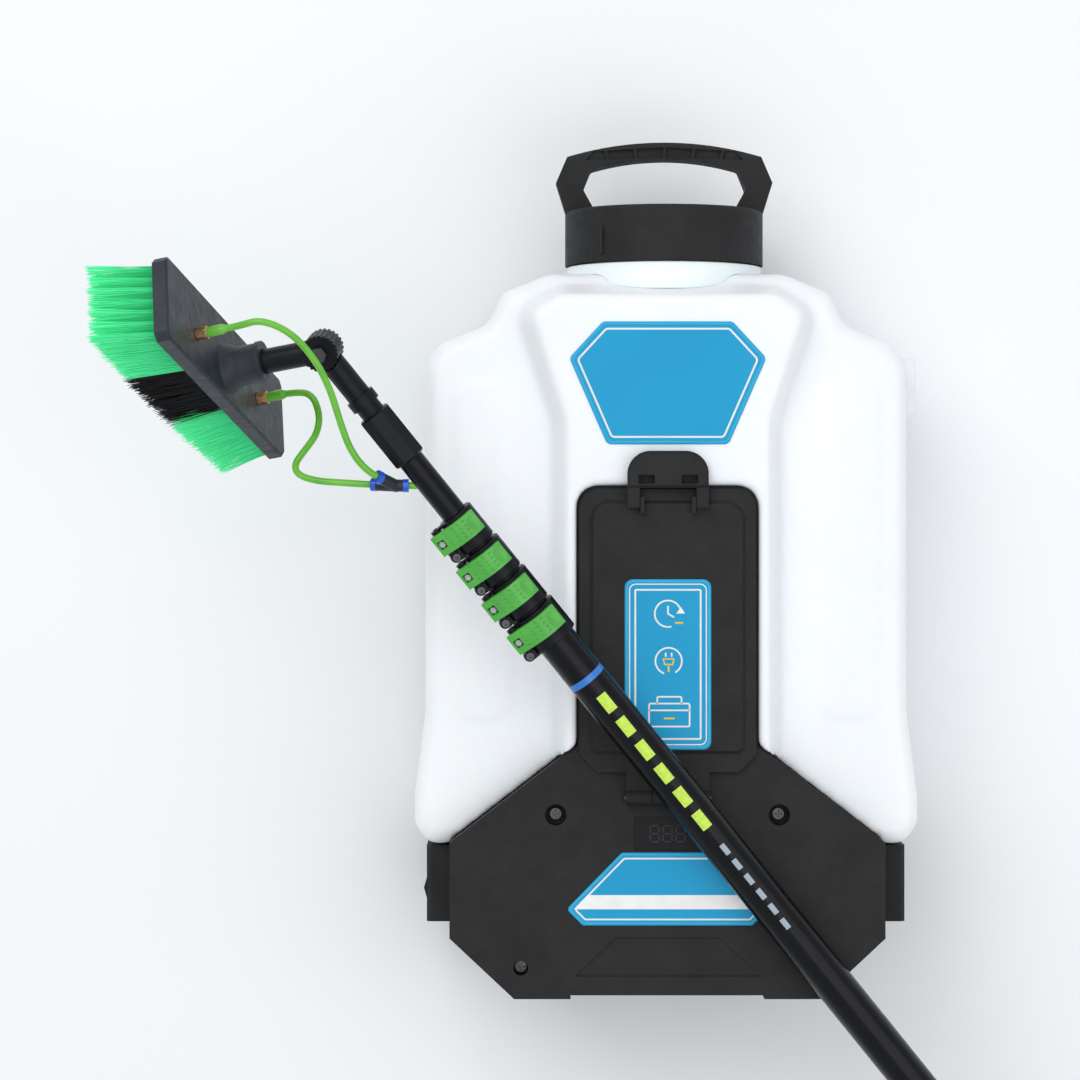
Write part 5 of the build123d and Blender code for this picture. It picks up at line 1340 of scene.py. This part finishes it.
def curved_plate(mesh, start, end, low, high):
    """A thin plate around the tube between two places along it and two angles in degrees."""
    steps = round((high - low) / 2)
    loops = []
    angles = [math.radians(low + (high - low) * step / steps) for step in range(steps + 1)]
    for place in (start, end):
        for radius in (MARK_RADIUS, MARK_RADIUS + MARK_THICKNESS):
            points = [pole_matrix(place, angle, radius).to_translation() for angle in angles]
            loops.append([mesh.verts.new(point) for point in points])
    inner_a, outer_a, inner_b, outer_b = loops
    for one, two in ((outer_a, outer_b), (inner_b, inner_a), (inner_a, outer_a), (outer_b, inner_b)):
        for step in range(steps):
            mesh.faces.new((one[step], two[step], two[step + 1], one[step + 1]))
    mesh.faces.new((inner_a[0], inner_b[0], outer_b[0], outer_a[0]))
    mesh.faces.new((inner_a[-1], outer_a[-1], outer_b[-1], inner_b[-1]))


def pole_marks(name, plates, finish):
    """Marks as one piece, from (start, end, low angle, high angle) in mm and degrees."""
    mesh = bmesh.new()
    for start, end, low, high in plates:
        curved_plate(mesh, start * MM, end * MM, low, high)
    bmesh.ops.recalc_face_normals(mesh, faces=mesh.faces)
    piece = piece_from(mesh, name, finish)
    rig.ride(piece, "pole_base")
    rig.slot(piece, "tube_black")


DASHES = 6
LIME_STEP, GREY_STEP = 22.4, 14.4   # from one dash to the next, in mm
lime = [(319 + LIME_STEP * step, 334 + LIME_STEP * step, 74, 106) for step in range(DASHES)]
grey = [(462 + GREY_STEP * step, 471 + GREY_STEP * step, 82, 98) for step in range(DASHES)]
pole_marks("ring_mark", [(302, 307, 15, 165)], mark_blue)
pole_marks("lime_marks", lime, mark_lime)
pole_marks("grey_marks", grey, mark_grey)
print("dashes:", len(lime) + len(grey))

# %% [markdown]
# ## Shoulder straps
# The straps lie folded in the harness frame's two pockets. Each is a padded band: crowned in the
# middle, thin and flat at its bound edge, with two sewn channels along it and a row of stitches in
# each. The stitches are grown along their lines.

# %% Strap pads
STRAP_ACROSS = (36.5, 97.5)
STRAP_ALONG = (-72.5, 167.5)
STRAP_DEPTHS = (2.2, 10.4)
STRAP_CORNER = 0.16                 # how much of its half width the rounded ends take
CHANNELS = (-0.42, 0.42)
CHANNEL_DEPTH = 1.6 * MM


def strap_thickness(u, v):
    """Half the thickness at a place, u and v from -1 to 1; sewn channels are drawn in."""
    edge = (1 - abs(u) ** 6) ** (1 / 3) * (1 - abs(v) ** 30) ** (1 / 3)
    full = (STRAP_DEPTHS[1] - STRAP_DEPTHS[0]) / 2 * MM
    sunk = sum(math.exp(-(((u - channel) / 0.045) ** 2)) for channel in CHANNELS) * CHANNEL_DEPTH
    return max(full * edge - sunk * edge, 0.35 * MM)


def strap_point(side, u, v, face):
    """A point of a pad's upper (face 1) or lower (face -1) side."""
    width = (STRAP_ACROSS[1] - STRAP_ACROSS[0]) / 2
    length = (STRAP_ALONG[1] - STRAP_ALONG[0]) / 2
    narrow = 1 - STRAP_CORNER * max(0, (abs(v) - 0.9) / 0.1) ** 2
    x = side * (sum(STRAP_ACROSS) / 2 + u * width * narrow) * MM
    y = (sum(STRAP_ALONG) / 2 + v * length) * MM
    z = sum(STRAP_DEPTHS) / 2 * MM + face * strap_thickness(u, v)
    return Vector((x, y, z))


def strap_mesh(side, columns=46, rows=150):
    """A closed pad from an upper and a lower grid, joined round the rim."""
    mesh = bmesh.new()
    grids = []
    for face in (-1, 1):
        grids.append([[mesh.verts.new(strap_point(side, -1 + 2 * column / columns, -1 + 2 * row / rows, face))
                       for column in range(columns + 1)] for row in range(rows + 1)])
    for index, grid in enumerate(grids):
        for row in range(rows):
            for column in range(columns):
                here, above = grid[row], grid[row + 1]
                corners = (here[column], here[column + 1], above[column + 1], above[column])
                mesh.faces.new(corners if index else tuple(reversed(corners)))
    low, high = grids
    rim = [(row, 0) for row in range(rows)] + [(rows, column) for column in range(columns)]
    rim += [(row, columns) for row in range(rows, 0, -1)] + [(0, column) for column in range(columns, 0, -1)]
    for (row, column), (row_2, column_2) in zip(rim, rim[1:] + rim[:1]):
        mesh.faces.new((low[row][column], low[row_2][column_2], high[row_2][column_2], high[row][column]))
    bmesh.ops.recalc_face_normals(mesh, faces=mesh.faces)
    return mesh


# %% Stitch tree
stitches = node_tree("stitches", {
    "Pitch": ("Float", 3.6 * MM), "Length": ("Float", 2.6 * MM), "Thread": ("Float", 0.32 * MM),
    "Finish": ("Material", None),
})
given = add_node(stitches, "NodeGroupInput").outputs
curve = geo(stitches, "MeshToCurve", {"Mesh": given["Geometry"]})
spots = add_node(stitches, "GeometryNodeCurveToPoints", {"Curve": curve, "Length": given["Pitch"]},
                 mode="LENGTH").outputs
thread = geo(stitches, "MeshUVSphere", {"Segments": 8, "Rings": 5, "Radius": 1.0})
half_length = combined(stitches, "MULTIPLY", given["Length"], 0.5)
shape = add_node(stitches, "ShaderNodeCombineXYZ",
                 {0: given["Thread"], 1: given["Thread"], 2: half_length}).outputs[0]
sewn = geo(stitches, "InstanceOnPoints",
           {"Points": spots["Points"], "Instance": thread, "Rotation": spots["Rotation"],
            "Scale": shape})
real = geo(stitches, "RealizeInstances", {"Geometry": sewn})
close_tree(stitches, real, given["Finish"])
print("stitch tree nodes:", len(stitches.nodes))

# %% Straps and their stitches
for side, where in ((1, "right"), (-1, "left")):
    pad = piece_from(strap_mesh(side), "strap_" + where, webbing, math.radians(70))
    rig.ride(pad, "tank")
    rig.replaces(pad, "shoulder_straps")
    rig.slot(pad, "strap")
    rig.padded(pad, fill=0.7)
    lines = []
    for channel in CHANNELS:
        lines.append(([strap_point(side, channel, -0.94 + 1.88 * step / 40, -1) - Vector((0, 0, 0.1 * MM))
                       for step in range(41)], False))
    sewing = grown("stitches_" + where, line_mesh("stitch_lines", lines), stitches, Finish=thread_grey)
    for face in sewing.data.polygons:
        face.use_smooth = True
    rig.ride(sewing, "tank")
    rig.slot(sewing, "strap")

# %% [markdown] ## Finish The boxes of the CAD model and of the dressed model are kept side by
# side, to show that the looks haven't changed the size.

# %% Write the sizes and finish
visual_box = [list(corner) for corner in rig.bounds()]
with open("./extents.json", "w") as sizes:
    json.dump({"cad": cad_box, "visual": visual_box}, sizes)
print("pieces:", len(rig.pieces()))
